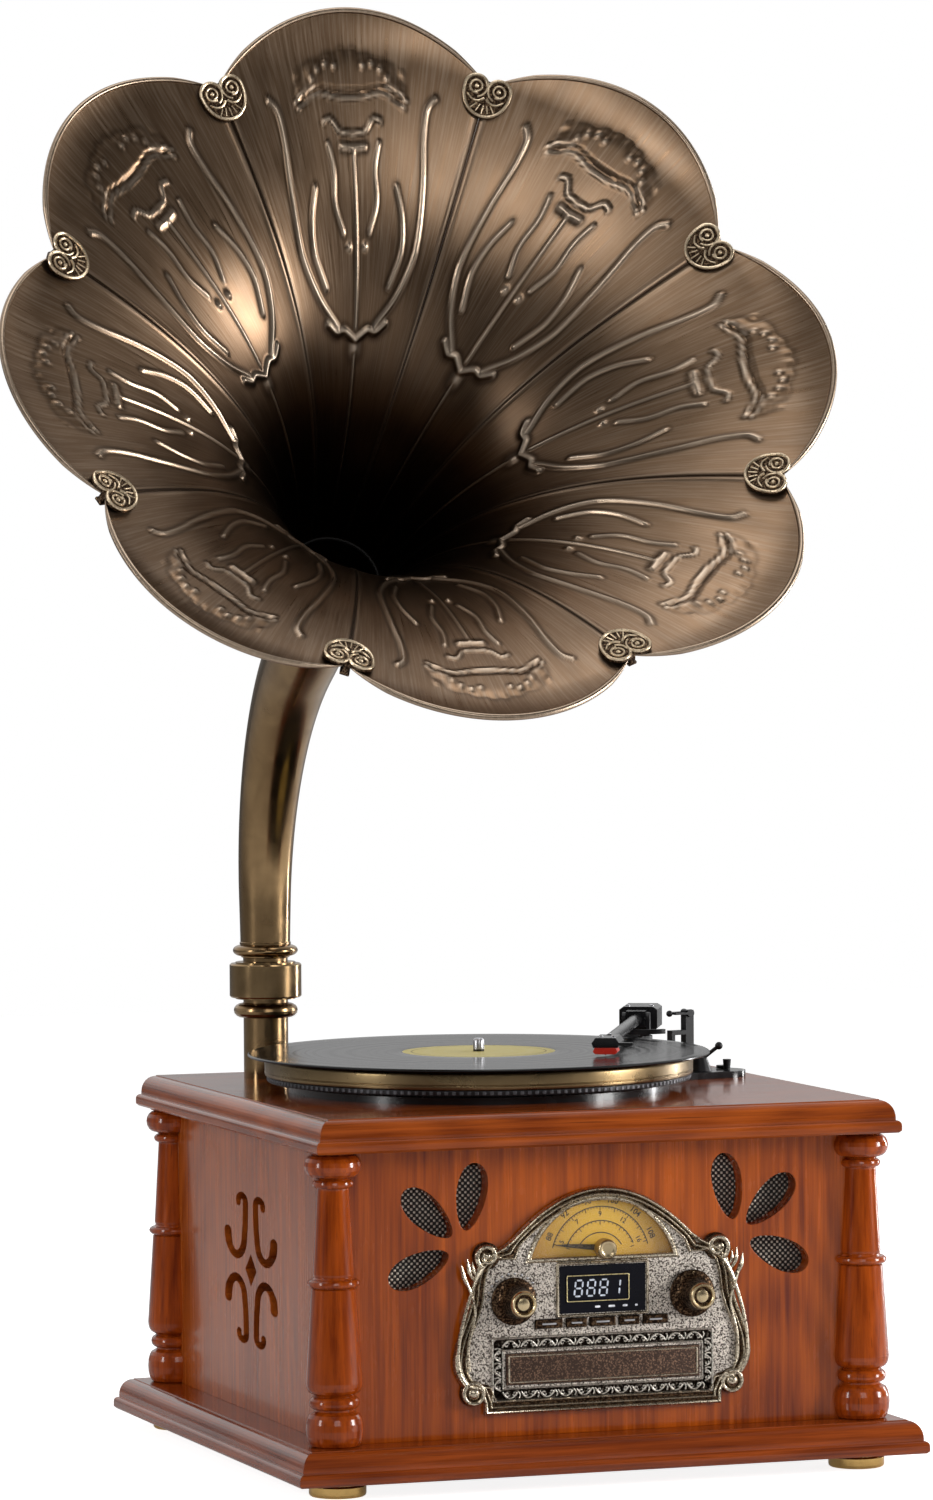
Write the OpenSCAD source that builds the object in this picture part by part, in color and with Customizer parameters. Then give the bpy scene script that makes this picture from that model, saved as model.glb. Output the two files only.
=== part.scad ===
// Horn gramophone with a turntable, a radio front and a disc drawer in a wooden cabinet.
// Millimetres. The cabinet stands on the plane z = 0 and its front faces -Y.

/* [Cabinet] */
// How far the plinth stands out beyond the panels all round
plinth_out = 33.5; // [28:0.5:40]
// How far the top board stands out beyond the side panels
top_side_out = 18.5; // [16:0.5:24]
// How far the top board stands out beyond the front and the back panel
top_front_out = 25.5; // [22:0.5:30]
// Thickness of the plinth and of the top board
board_t = 21; // [20:0.5:26]
// How far the moulding runs in from the edge of a board
mould_w = 11; // [8:0.5:14]
// Height of the plain lip under the moulding
lip_h = 8; // [6:0.5:10]
// Leg of the cut across each corner of a board
corner_cut = 11; // [6:0.5:16]
// Width of the box that the four panels make
body_w = 355; // [350:1:360]
// Depth of the box that the four panels make
body_d = 343; // [338:1:350]
// Height of the panels and columns between the boards
body_h = 184; // [178:1:200]
// Thickness of the panels
panel_t = 12; // [9:0.5:15]
// Height of the feet under the plinth
foot_h = 10.5; // [8:0.5:16]
// Radius of a foot
foot_r = 18; // [14:0.5:22]
// How far a foot's centre stands in from the plinth's edges
foot_inset = 36; // [30:1:50]
// Radius of the ball at the foot of a column
ball_r = 18.3; // [16:0.1:19]
// Radius of a column's shaft at its waist, where it is thinnest
waist_r = 10; // [8:0.5:11.5]

/* [Front cut-outs] */
// Distance of a leaf group's hub from the middle of the front
leaf_x = 92; // [88:1:98]
// Height of a leaf group's hub over the plinth
leaf_z = 120.5; // [116:0.5:124]
// Distance from the hub to the middle of a leaf
leaf_reach = 32; // [29:0.5:34]
// Length of a leaf
leaf_l = 43; // [34:0.5:46]
// Width of a leaf
leaf_w = 20; // [14:0.5:22]
// Half height of the side scroll pattern
scroll_h = 50; // [44:1:56]
// Half width of the side scroll pattern
scroll_w = 56; // [50:1:60]

/* [Front plate] */
// Height of the front plate's lower edge over the plinth
face_z = 14.5; // [10:0.5:18]
// Half width of the front plate where it is widest
face_half = 100; // [97:0.5:104]
// Height of the front plate to the top of its arch
face_h = 141; // [138:0.5:146]
// Thickness of the front plate's field
face_t = 3; // [2.5:0.1:4]
// How far the border rails stand on the field
rail_h = 2.6; // [1.5:0.1:4]
// Half width of the arch at its shoulders
arch_half = 60; // [56:0.5:64]
// Radius of the dial window
dial_r = 50; // [46:0.5:51]
// Distance of the two large knobs from the middle
knob_x = 60; // [58:0.5:62]
// Radius of the two large knobs
knob_r = 8.3; // [6:0.1:10]
// How far the two large knobs stand on their skirts
knob_l = 18; // [12:0.5:24]
// Travel of the push buttons
press = 1.2; // [0.6:0.1:1.6]

/* [Disc drawer] */
// Width of the drawer's front
drawer_w = 130; // [128:0.5:132]
// Height of the drawer's front
drawer_h = 19.7; // [18:0.1:21]
// Radius of the disc recess
disc_r = 61; // [60.5:0.1:62]
// Length of the tray behind the drawer's front
tray_l = 136; // [132:1:145]

/* [Turntable] */
// Spindle, across
deck_x = -22; // [-26:1:-16]
// Spindle, front to back
deck_y = -5; // [-10:1:0]
// Radius of the record
record_r = 151; // [149:0.5:152]
// Radius of the platter
platter_r = 140; // [136:0.5:144]
// Height of the platter's rim
rim_h = 12; // [9:0.5:13]
// Radius of the spindle
spindle_r = 3.6; // [3.4:0.05:3.9]
// Radius of the deck plate
deck_r = 125; // [118:1:130]
// Thickness of the deck plate
deck_t = 4.5; // [3.5:0.1:5]
// Radius of the driven wheel under the platter
wheel_r = 54; // [48:1:60]
// Radius of the motor's pulley
pulley_r = 8; // [7:0.5:10]
// Distance from the spindle to the motor's shaft
motor_reach = 92; // [86:1:98]

/* [Tonearm] */
// Pivot, across
pivot_x = 132; // [129:1:136]
// Pivot, front to back
pivot_y = 110; // [106:1:114]
// Distance from the pivot to the stylus
arm_len = 210; // [206:1:214]
// Angle of the arm from the front-to-back line, as it plays
arm_angle = -26.3; // [-28:0.1:-24]
// Angle of the arm on its rest
park_angle = 13; // [10:0.5:14]
// Radius of the arm's tube
tube_r = 4; // [3:0.1:4.5]

/* [Horn] */
// Distance of the pipe from the outside of the left panel
pipe_side = 54.5; // [50:0.5:58]
// Distance of the pipe from the outside of the back panel
pipe_back = 35.5; // [34.5:0.5:38]
// Radius of the pipe
pipe_r = 14.9; // [13.5:0.1:16]
// Height of the socket pipe's bead over the top board
socket_h = 40.5; // [34:0.5:50]
// Height of the collar
collar_h = 24.7; // [20:0.1:30]
// Radius of the collar
collar_r = 24; // [22:0.5:27]
// Radius of the elbow's bend
bend_r = 190; // [170:1:210]
// Angle of the elbow's bend
bend = 56; // [50:0.5:62]
// Length of the straight neck between the bend and the bell
neck_l = 106; // [90:1:120]
// Radius of the bell at its throat
throat_r = 30; // [27:0.5:33]
// Radius of the bell at the notches between its petals
mouth_r = 232; // [215:1:245]
// Length of the bell from throat to notches
bell_l = 231; // [215:1:250]
// How far a petal's tip reaches out past the notches
tip_reach = 25; // [24:1:38]
// Turn of the horn about its pipe
heading = -2; // [-10:0.5:10]
// Thickness of the bell's sheet
sheet_t = 0.9; // [0.7:0.1:1.4]
// Radius of the rolled bead along a petal's rim
bead_r = 2; // [1.5:0.1:2.5]

/* [Hidden] */
$fn = 64;

// Where the cabinet's middle stands from the origin, which is under the middle of the whole
cabinet_x = 99;
cabinet_y = 96;

// Clearances: a turning fit, a sliding fit, a gap beside a moving piece, an overcut, a slip
turn_fit = 0.05;
slide_fit = 0.3;
air = 0.4;
over = 1;
slip = 0.02;

// Boards and pipe, from the box that the panels make
plinth_w = body_w + 2 * plinth_out;
plinth_d = body_d + 2 * plinth_out;
top_w = body_w + 2 * top_side_out;
top_d = body_d + 2 * top_front_out;
pipe_x = pipe_side - body_w / 2;
pipe_y = body_d / 2 - pipe_back;

// Heights
body_z = foot_h + board_t;
roof_z = body_z + body_h;
deck_z = roof_z + board_t;

// Moulding
lip_r = 3;
step_h = 1.5;
fillet_h = 0.5;
lip_chamfer = 1.5;

// Column
bead_z = 23.3;
bead_top = 31.2;
shaft_z = 33;
ring_z = 99;
ring_top = 104.5;
cap_h = 16;
neck_h = 23;
shaft_r = ball_r - 0.3;
belt_r = 14.2;
shoulder_r = 13;

// Front plate, over its lower edge
plate_z = body_z + face_z;
tray_z = plate_z + 28;
button_z = plate_z + 55.7;
knob_z = plate_z + 71;
display_z = plate_z + 76.5;
dial_z = plate_z + 97;
dial_c = dial_z - 14;
tuner_z = dial_z + 5;
arch_drop = 31;
shoulder_z = plate_z + face_h - arch_drop;
display_w = 57.5;
display_h = 30;
button_h = 5.4;
button_w = [18, 13.5, 17, 13.5, 16.4];
button_x = [-36.4, -17.9, -0.3, 17.6, 35.4];
skirt_r = 15;
skirt_t = 3;
shaft_r3 = 3;
bush_wall = 2.5;
bush_l = 12;
tuner_r = 6.3;
tuner_l = 9.5;
needle_l = 31;
needle_up = 5;
card_t = 0.8;
bay_half = 66;
volute_r = 8.5;
scroll_ball_r = 8;
board_back = 18;
pcb_t = 1.6;

// Drawer and its drive
drive_half = drawer_w / 2 + 8.5;
drive_h = 34;
drive_wall = 3;
drive_l = tray_l + 12;
tray_t = 6.4;
recess_t = 2.4;
front_t = 3.2;

// Turntable, heights
wheel_z = deck_z + 10;
wheel_h = 8.6;
belt_w = 5;
belt_t = 1;
pulley_h = 9;
platter_top = deck_z + 22;
platter_t = 2;
rim_t = 3.5;
skirt_gap = 2;
mat_t = 0.7;
record_t = 1.8;
record_z = platter_top + mat_t;
spindle_up = 8;
bush_r = 9;
bush_drop = 26;
motor_r = 18;
motor_h = 27;
motor_angle = 205;
lobe_x = 158;
lobe_y = 22;
lobe_r = 17;

// Tonearm, heights
arm_z = record_z + record_t + 8.3;
base_r = 27;
turret_r = 9;
turret_z = deck_z + 19;
fork_gap = 14;
pin_r = 1.5;
rest_reach = 49;
lift_reach = 30;
lift_rise = 6;
lift_post_r = 2;
lift_post_y = 18.5;
weight_l = 36;

// Horn
socket_top = deck_z + socket_h;
collar_z = deck_z + socket_h + 12.5;
ring_up = 4;
bead_h = 7.3;
spigot_r = 12.7;
elbow_z = collar_z + collar_h + ring_up + bead_h;
elbow_start = elbow_z + 30;
elbow_r = pipe_r + 1.7;
wall_t = 1.2;
elbow_sides = 24;
petals = 8;
petal_turn = 24;
seam_turn = 0.04;
flare = 1.12;
bulge_k = 0.03;
lip_out = 2.4;
clip_w = 16.5;
clip_h = 15;
clip_t = 2.2;
clip_gap = 1.2;

brass = [0.52, 0.42, 0.26];
wood = [0.62, 0.27, 0.1];
black = [0.09, 0.09, 0.1];

// Points on an ellipse's arc from angle a0 to a1
function arc(cx, cy, rx, ry, a0, a1, n) =
    [for (i = [0:n]) let (a = a0 + (a1 - a0) * i / n) [cx + rx * cos(a), cy + ry * sin(a)]];

// Points of a convex bead of a turned profile, from height z0 to z1
function bead(base, peak, z0, z1, n = 8) =
    [for (i = [0:n]) let (a = 180 * i / n)
        [base + (peak - base) * sin(a), z0 + (z1 - z0) * (1 - cos(a)) / 2]];

// The same points mirrored in x, in the opposite order
function mirrored(pts) = [for (i = [len(pts) - 1:-1:0]) [-pts[i][0], pts[i][1]]];

// A closed outline from its right half
function both(pts) = concat(pts, mirrored(pts));

// A band of varying width along a line of points
function band(line, width) =
    let (
        n = len(line) - 1,
        side = [for (i = [0:n])
            let (
                d = line[min(i + 1, n)] - line[max(i - 1, 0)],
                u = d / norm(d)
            )
            [-u[1], u[0]] * width[i] / 2]
    )
    concat([for (i = [0:n]) line[i] + side[i]], [for (i = [n:-1:0]) line[i] - side[i]]);

// Puts the cabinet's own frame in the part's frame
module cabinet() {
    translate([cabinet_x, cabinet_y, 0]) children();
}

// Draws on the front panel's face: x across, y up, z out
module on_front() {
    cabinet() translate([0, -body_d / 2, 0]) rotate([90, 0, 0]) children();
}

// Moulded outline of a board, seen from its end
function board_outline(half) = both(concat(
    [[half - lip_chamfer, 0], [half, lip_chamfer]],
    arc(half - lip_r, lip_h - lip_r, lip_r, lip_r, 0, 90, 4),
    arc(half - mould_w, lip_h + step_h, mould_w - lip_r, board_t - lip_h - step_h - fillet_h, 0, 90, 8),
    [[half - mould_w, board_t]]
));

// Board with a mitred moulding and cut corners
module moulded_board(w, d) {
    long = w + d;
    intersection() {
        rotate([90, 0, 90]) linear_extrude(long, center = true) polygon(board_outline(d / 2));
        rotate([90, 0, 0]) linear_extrude(long, center = true) polygon(board_outline(w / 2));
        for (turn = [-45, 45])
            rotate([90, 0, turn]) linear_extrude(long, center = true)
                polygon(board_outline((long / 2 - corner_cut) / sqrt(2)));
    }
}

module plinth_board() {
    color(wood) cabinet() translate([0, 0, foot_h]) moulded_board(plinth_w, plinth_d);
}

module top_board() {
    color(wood) cabinet() difference() {
        translate([0, 0, roof_z]) moulded_board(top_w, top_d);
        translate([pipe_x, pipe_y, roof_z - over]) cylinder(h = board_t + 2 * over, r = pipe_r + turn_fit);
        translate([deck_x, deck_y, roof_z - over]) cylinder(h = board_t + 2 * over, r = bush_r + over);
        at_motor() translate([0, 0, roof_z - over]) cylinder(h = board_t + 2 * over, r = motor_r + over);
    }
}

// Outline of one leaf, pointed a little towards the hub at -x
function leaf_pts() = [for (i = [0:27]) let (a = 360 * i / 28)
    [leaf_l / 2 * cos(a), leaf_w / 2 * sin(a) * (1 + 0.22 * cos(a))]];

// The three leaves of one group, in the front panel's frame
module leaf_group() {
    translate([leaf_x, body_z + leaf_z]) for (a = [100, 43, -23])
        rotate(a) translate([leaf_reach, 0]) polygon(leaf_pts());
}

module front_panel() {
    color(wood) difference() {
        cabinet() translate([-body_w / 2, -body_d / 2, body_z]) cube([body_w, panel_t, body_h]);
        on_front() translate([0, 0, -panel_t - over]) linear_extrude(panel_t + 2 * over) {
            leaf_group();
            mirror([1, 0]) leaf_group();
        }
        on_front() translate([0, 0, -panel_t - over]) linear_extrude(panel_t + 2 * over) radio_bay();
    }
}

// Opening in the front panel behind the front plate
module radio_bay() {
    translate([-bay_half, button_z - 8]) square([2 * bay_half, dial_z - button_z + 9]);
    translate([-drive_half - slide_fit, tray_z - drive_h / 2 - slide_fit])
        square([2 * (drive_half + slide_fit), drive_h + 2 * slide_fit]);
    intersection() {
        translate([0, dial_c]) circle(r = dial_r + 3);
        translate([-dial_r - 3, dial_z]) square([2 * dial_r + 6, dial_r]);
    }
}

// Rounded ends for a band: three narrowing stations past the end of a line
function cap_line(line, r) = let (n = len(line) - 1, d = line[n] - line[n - 1], u = d / norm(d))
    [for (a = [35, 60, 80]) line[n] + u * r * sin(a)];
function cap_width(r) = [for (a = [35, 60, 80]) 2 * r * cos(a)];
function reversed(list) = [for (i = [len(list) - 1:-1:0]) list[i]];

// One of the four scrolls of a side panel, in the quarter x > 0, y > 0: small hook, stem, large curl
scroll_unit = 50;
hook_w = 4.6;
curl_w = 6;
function scroll_line() = concat(
    arc(8.3, 43, 3.5, 3.9, -15, 180, 8),
    [[4.9, 36], [5.2, 28]],
    arc(14, 21, 8, 13.6, 180, 362, 12)
);
function scroll_width(n) = [for (i = [0:n]) hook_w + (curl_w - hook_w) * i / n + (i > n - 3 ? 1 : 0)];
module side_scroll() {
    line = scroll_line();
    n = len(line) - 1;
    width = scroll_width(n);
    r0 = width[0] / 2;
    r1 = width[n] / 2;
    full = concat(reversed(cap_line(reversed(line), r0)), line, cap_line(line, r1));
    wide = concat(reversed(cap_width(r0)), width, cap_width(r1));
    // The pattern is drawn narrow and then spread, so that its upright strokes are the broad ones
    spread = [scroll_w / 25, scroll_h / scroll_unit];
    polygon([for (q = band(full, wide)) [q[0] * spread[0], q[1] * spread[1]]]);
}

// Scroll pattern of a side panel, about its middle
module side_pattern() {
    for (i = [0, 1], j = [0, 1]) mirror([i, 0]) mirror([0, j]) side_scroll();
    polygon([[0, -10.5], [12, 0], [0, 10.5], [-12, 0]]);
}

module side_panel(side) {
    color(wood) cabinet() difference() {
        translate([side * body_w / 2 - (side > 0 ? panel_t : 0), -body_d / 2 + panel_t, body_z])
            cube([panel_t, body_d - 2 * panel_t, body_h]);
        translate([side * (body_w / 2 - panel_t / 2), 0, body_z + body_h / 2])
            rotate([90, 0, 90]) linear_extrude(panel_t + 2 * over, center = true) side_pattern();
    }
}

module left_panel() {
    side_panel(-1);
}

module right_panel() {
    side_panel(1);
}

// Vent slots and the socket plate's cut-out are in the back
socket_w = 86;
socket_hole = [-80, 38];
plate_h = 38;
module back_panel() {
    color(wood) cabinet() difference() {
        translate([-body_w / 2, body_d / 2 - panel_t, body_z]) cube([body_w, panel_t, body_h]);
        for (row = [0:3], i = [-3:3])
            translate([i * 34 - 12, body_d / 2 - panel_t - over, body_z + 120 + row * 12])
                cube([24, panel_t + 2 * over, 4]);
        translate([socket_hole[0], body_d / 2 - panel_t - over, body_z + socket_hole[1]])
            cube([socket_w - 10, panel_t + 2 * over, plate_h - 8]);
    }
}

// Turned profile of a column
function column_outline() = concat(
    [[0, 0]],
    bead(ball_r - 4, ball_r, 0, 21),
    [[ball_r - 6, 22.2]],
    bead(ball_r - 5.8, ball_r - 2.3, bead_z, bead_top),
    [[ball_r - 5, shaft_z - 0.6]],
    arc(shaft_r - 4, shaft_z + 7, 4, 7, -80, 0, 4),
    [[belt_r, ring_z - 1], [belt_r - 1, ring_z]],
    bead(belt_r - 1, belt_r + 2.5, ring_z, ring_top, 6),
    [[shoulder_r - 0.6, ring_top + 1], [shoulder_r, ring_top + 3]],
    [[waist_r, body_h - neck_h - 1]],
    bead(waist_r, waist_r + 3, body_h - neck_h, body_h - neck_h + 5.5, 6),
    [[waist_r + 0.5, body_h - cap_h - 0.7]],
    bead(waist_r + 2.5, ball_r - 0.3, body_h - cap_h, body_h - 2),
    [[ball_r - 3, body_h - 1], [ball_r - 3, body_h], [0, body_h]]
);

module columns() {
    color(wood) cabinet() difference() {
        for (i = [-1, 1], j = [-1, 1])
            translate([i * body_w / 2, j * body_d / 2, body_z]) rotate_extrude() polygon(column_outline());
        translate([-body_w / 2, -body_d / 2, body_z - over]) cube([body_w, body_d, body_h + 2 * over]);
    }
}

function foot_outline() = concat(
    [[0, 0], [foot_r - 3, 0]],
    arc(foot_r - 2, 2, 2, 2, -90, 0, 4),
    [[foot_r, foot_h - 4], [foot_r - 2, foot_h - 3], [foot_r - 2, foot_h], [0, foot_h]]
);

module feet() {
    color([0.8, 0.64, 0.3]) cabinet() for (i = [-1, 1], j = [-1, 1])
        translate([i * (plinth_w / 2 - foot_inset), j * (plinth_d / 2 - foot_inset), 0])
            rotate_extrude() polygon(foot_outline());
}

// Mesh sheets behind the front leaves and the side scrolls
grille_t = 0.8;
module grilles() {
    color([0.2, 0.19, 0.18]) {
        for (side = [-1, 1])
            on_front() translate([side * (leaf_x + 18), body_z + leaf_z + 4, -panel_t - grille_t])
                linear_extrude(grille_t) square([84, 92], center = true);
        cabinet() for (side = [-1, 1])
            translate([side * (body_w / 2 - panel_t - grille_t / 2), 0, body_z + body_h / 2])
                cube([grille_t, 2 * scroll_w + 24, 2 * scroll_h + 24], center = true);
    }
}

// Loudspeaker: flange, basket, cone and magnet
speaker_r = 39;
function speaker_outline() = [
    [0, 8], [8, 9], [speaker_r - 7, 1.2], [speaker_r - 4, 0], [speaker_r, 0], [speaker_r, 2.5],
    [speaker_r - 6, 3], [20, 20], [20, 24], [24, 24], [24, 36], [0, 36]
];
module speakers() {
    color([0.13, 0.13, 0.14]) for (side = [-1, 1])
        on_front() translate([side * (leaf_x + 18), body_z + leaf_z + 2, -panel_t - grille_t])
            rotate([180, 0, 0]) rotate_extrude() polygon(speaker_outline());
}

// Bush for a knob's shaft, standing from the board towards the front
module pot(x, z, bush_z) {
    translate([x, z, -board_back]) difference() {
        union() {
            cylinder(h = board_back + bush_z, r = shaft_r3 + bush_wall);
            cylinder(h = board_back - panel_t - 1, r = shaft_r3 + 6);
        }
        translate([0, 0, board_back + bush_z - bush_l]) cylinder(h = bush_l + over, r = shaft_r3 + turn_fit);
    }
}

module circuit_board() {
    color([0.1, 0.35, 0.18]) on_front() {
        translate([0, 0, -board_back - pcb_t]) linear_extrude(pcb_t)
            translate([-bay_half + 1, button_z - 7]) square([2 * bay_half - 2, tuner_z - button_z + 16]);
        for (side = [-1, 1]) pot(side * knob_x, knob_z, -1);
        pot(0, tuner_z, -card_t - 1.4);
        for (i = [0:4])
            translate([button_x[i], button_z, -board_back]) linear_extrude(board_back - 3 - press - air)
                square([5, 5], center = true);
        translate([0, display_z, -board_back]) linear_extrude(board_back - 0.2)
            square([display_w - 8, display_h - 8], center = true);
    }
}

module mains_transformer() {
    core = [58, 48, 48];
    color([0.3, 0.3, 0.32]) cabinet() translate([95, 70, body_z]) {
        translate([-core[0] / 2 - 10, -core[1] / 2 + 8, 0]) cube([core[0] + 20, core[1] - 16, 2]);
        translate([-core[0] / 2, -core[1] / 2 + 10, 0]) cube([core[0], core[1] - 20, core[2]]);
        translate([0, 0, core[2] / 2 + 1]) cube([core[0] - 20, core[1], core[2] - 12], center = true);
    }
}

// Plate with a mains inlet for a loose lead and two line sockets
inlet = [18, 9, 12];
module rear_sockets() {
    color(black) cabinet()
        translate([
            socket_hole[0] + (socket_w - 10) / 2, body_d / 2, body_z + socket_hole[1] + (plate_h - 8) / 2
        ])
            rotate([90, 0, 180]) {
                difference() {
                    union() {
                        linear_extrude(2) square([socket_w, plate_h], center = true);
                        translate([0, 0, -panel_t]) linear_extrude(panel_t)
                            square([socket_w - 11, plate_h - 9], center = true);
                    }
                    translate([-22, 0, 2 - inlet[2]]) linear_extrude(inlet[2] + over) {
                        square([inlet[0] - inlet[1], inlet[1]], center = true);
                        for (s = [-1, 1]) translate([s * (inlet[0] - inlet[1]) / 2, 0]) circle(d = inlet[1]);
                    }
                }
                for (s = [-1, 1])
                    translate([-22 + s * 4.3, 0, 1 - inlet[2]]) cylinder(h = inlet[2] - 2, r = 1.2);
                for (s = [0, 1])
                    translate([12 + s * 16, 0, 1]) difference() {
                        cylinder(h = 9, r = 4.2);
                        translate([0, 0, 2]) cylinder(h = 9, r = 1.6);
                    }
            }
}

// Moving coil driver that feeds the pipe, hung under the top board by its nut
module horn_driver() {
    color(black) cabinet() translate([pipe_x, pipe_y, roof_z]) difference() {
        rotate_extrude() polygon([
            [0, -44], [15, -44], [15, -34], [21.5, -33], [21.5, -12], [19, -11], [19, 0],
            [pipe_r + slip, 0], [pipe_r + slip, -8], [12, -8], [8, -14], [0, -14]
        ]);
    }
}

// Rounded bead outline round a pipe
function pipe_bead(r, out, z0, h) = concat([[r, z0]], bead(r, r + out, z0, z0 + h, 8), [[r, z0 + h]]);

module socket_pipe() {
    top = collar_z + collar_h / 2 - 2;
    color(brass) cabinet() translate([pipe_x, pipe_y, 0]) rotate_extrude() polygon(concat(
        [[pipe_r, roof_z - 7.6]],
        [[pipe_r, socket_top]],
        bead(pipe_r + 1, pipe_r + 6.5, socket_top, socket_top + 9.5),
        [[pipe_r, socket_top + 10], [pipe_r, top], [spigot_r + turn_fit, top]],
        [[spigot_r + turn_fit, collar_z - 30], [12, collar_z - 30], [12, roof_z - 7.6]]
    ));
}

// Sleeve over the joint of socket pipe and elbow
module lock_collar() {
    rim = 1;
    color(brass) cabinet() translate([pipe_x, pipe_y, collar_z]) rotate_extrude() polygon([
        [pipe_r + turn_fit, 0], [collar_r - 4, 0], [collar_r - 4, rim], [collar_r - rim, rim],
        [collar_r, 2 * rim], [collar_r, collar_h - 2 * rim], [collar_r - rim, collar_h - rim],
        [collar_r - 4, collar_h - rim], [collar_r - 4, collar_h], [pipe_r + turn_fit, collar_h]
    ]);
}

// Puts the horn's frame, with the pipe's axis as z, in the part's frame
module on_pipe() {
    cabinet() translate([pipe_x, pipe_y, 0]) rotate([0, 0, heading]) children();
}

// Elbow's centre line: distance along it from elbow_start to forward reach, height and slope
bend_l = bend_r * bend * PI / 180;
function path_at(s) =
    s < 0 ? [0, elbow_start + s, 0]
    : s < bend_l ? let (a = s / bend_l * bend) [bend_r * (1 - cos(a)), elbow_start + bend_r * sin(a), a]
    : [bend_r * (1 - cos(bend)) + (s - bend_l) * sin(bend),
       elbow_start + bend_r * sin(bend) + (s - bend_l) * cos(bend), bend];

// Throat: the bell's own frame starts here, with its axis as z
throat_at = path_at(bend_l + neck_l);
module on_bell() {
    on_pipe() translate([0, -throat_at[0], throat_at[1]]) rotate([bend, 0, 0]) children();
}

// Radius of the elbow's outside at a distance along its centre line
elbow_l = 30 + bend_l + neck_l - 1;
function elbow_radius(s) = let (share = max(s + 30, 0) / elbow_l)
    elbow_r * pow((throat_r + 0.2) / elbow_r, pow(share, 1.15));

// Ring of points round the centre line
function elbow_ring(s, r) = let (p = path_at(s)) [for (i = [0:elbow_sides - 1])
    let (a = 360 * i / elbow_sides, x = r * cos(a), y = r * sin(a))
    [x, -p[0] + y * cos(p[2]), p[1] + y * sin(p[2])]];

// Stations along the elbow: one at each end of a straight run, more round the bend
elbow_stops = concat(
    [-33, -15],
    [for (i = [0:12]) bend_l * i / 12],
    [for (i = [1:3]) bend_l + (neck_l - 1) * i / 3]
);

// Closed tube from an outer and an inner set of rings
module tube_between(outer, inner) {
    n = len(outer);
    m = elbow_sides;
    pts = concat([for (ring = outer) each ring], [for (ring = inner) each ring]);
    wall = [for (k = [0:n - 2], i = [0:m - 1]) let (j = (i + 1) % m)
        each [[k * m + i, k * m + j, (k + 1) * m + j], [k * m + i, (k + 1) * m + j, (k + 1) * m + i]]];
    b = n * m;
    bore = [for (f = wall) [f[0] + b, f[2] + b, f[1] + b]];
    end0 = [for (i = [0:m - 1]) let (j = (i + 1) % m) each [[i, b + j, j], [i, b + i, b + j]]];
    t = (n - 1) * m;
    end1 = [for (i = [0:m - 1]) let (j = (i + 1) % m)
        each [[t + i, t + j, b + t + j], [t + i, b + t + j, b + t + i]]];
    polyhedron(pts, [for (f = concat(wall, bore, end0, end1)) [f[2], f[1], f[0]]]);
}

module elbow_pipe() {
    low = collar_z + collar_h / 2;
    color(brass) {
        on_pipe() tube_between(
            [for (s = elbow_stops) elbow_ring(s, elbow_radius(s))],
            [for (s = elbow_stops) elbow_ring(s, elbow_radius(s) - wall_t)]
        );
        on_pipe() rotate_extrude() polygon(concat(
            [[12 - wall_t, collar_z - 20], [spigot_r, collar_z - 20], [spigot_r, low], [pipe_r, low]],
            [[pipe_r, elbow_z - bead_h - 1]],
            bead(elbow_r - wall_t / 2, pipe_r + 6.8, elbow_z - bead_h, elbow_z),
            [[elbow_r - wall_t / 2, elbow_z + 3], [elbow_r - wall_t - 0.5, elbow_z + 3]],
            [[12, low + 4], [12 - wall_t, low]]
        ));
        on_bell() rotate_extrude() polygon([
            [throat_r - 1, -9], [throat_r + 3, -8], [throat_r + 5, -6], [throat_r + 5, 4],
            [throat_r + 3.2, 5], [throat_r + 2.6, 5], [throat_r + 2.6, -slide_fit],
            [throat_r - 0.5, -slide_fit]
        ]);
    }
}

// Bell's radius at a distance t along its axis from the throat
function bell_r(t) = throat_r * pow(mouth_r / throat_r, pow(t / bell_l, flare));

// Share of the tip's reach across a petal, from -1 at one seam to 1 at the other
function scallop(v) = pow(max(cos(90 * v), 0.0025), 0.88);

// Centre line of a petal's section at v: [radius, distance along the axis]
bell_rows = 13;
tip_rows = 3;
function petal_line(v) = let (bulge = 1 + bulge_k * cos(90 * v), reach = tip_reach * scallop(v)) concat(
    [for (i = [0:bell_rows - 1]) let (t = bell_l * pow(i / (bell_rows - 1), 0.8))
        [bell_r(t) * (1 + (bulge - 1) * t / bell_l), t]],
    [for (i = [1:tip_rows]) let (e = reach * i / tip_rows)
        [mouth_r * bulge + e, bell_l + 0.43 * e + 0.006 * e * e]]
);

// Thickness at v and row i, with the lip that stands along each seam up to its notch
function sheet_at(v, i) = sheet_t + (abs(v) > 0.975 && i < bell_rows ? lip_out * min(1, i / 2) : 0);

// Closed section of a petal at v: inner face, rolled rim, outer face
function petal_section(v) =
    let (
        line = petal_line(v),
        n = len(line) - 1,
        normal = [for (i = [0:n])
            let (d = line[min(i + 1, n)] - line[max(i - 1, 0)]) [d[1], -d[0]] / norm(d)],
        r = sheet_t / 2 + (bead_r - sheet_t / 2) * min(1, 2.2 * scallop(v)),
        out = [-normal[n][1], normal[n][0]],
        centre = line[n] + out * r * 0.8 + normal[n] * sheet_t / 2
    )
    concat(
        [for (i = [0:n]) line[i]],
        [for (a = [-130, -65, 0, 65, 130]) centre + r * (out * cos(a) + normal[n] * sin(a))],
        [for (i = [n:-1:0]) line[i] + normal[i] * (i == n ? sheet_t : sheet_at(v, i))]
    );

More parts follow.
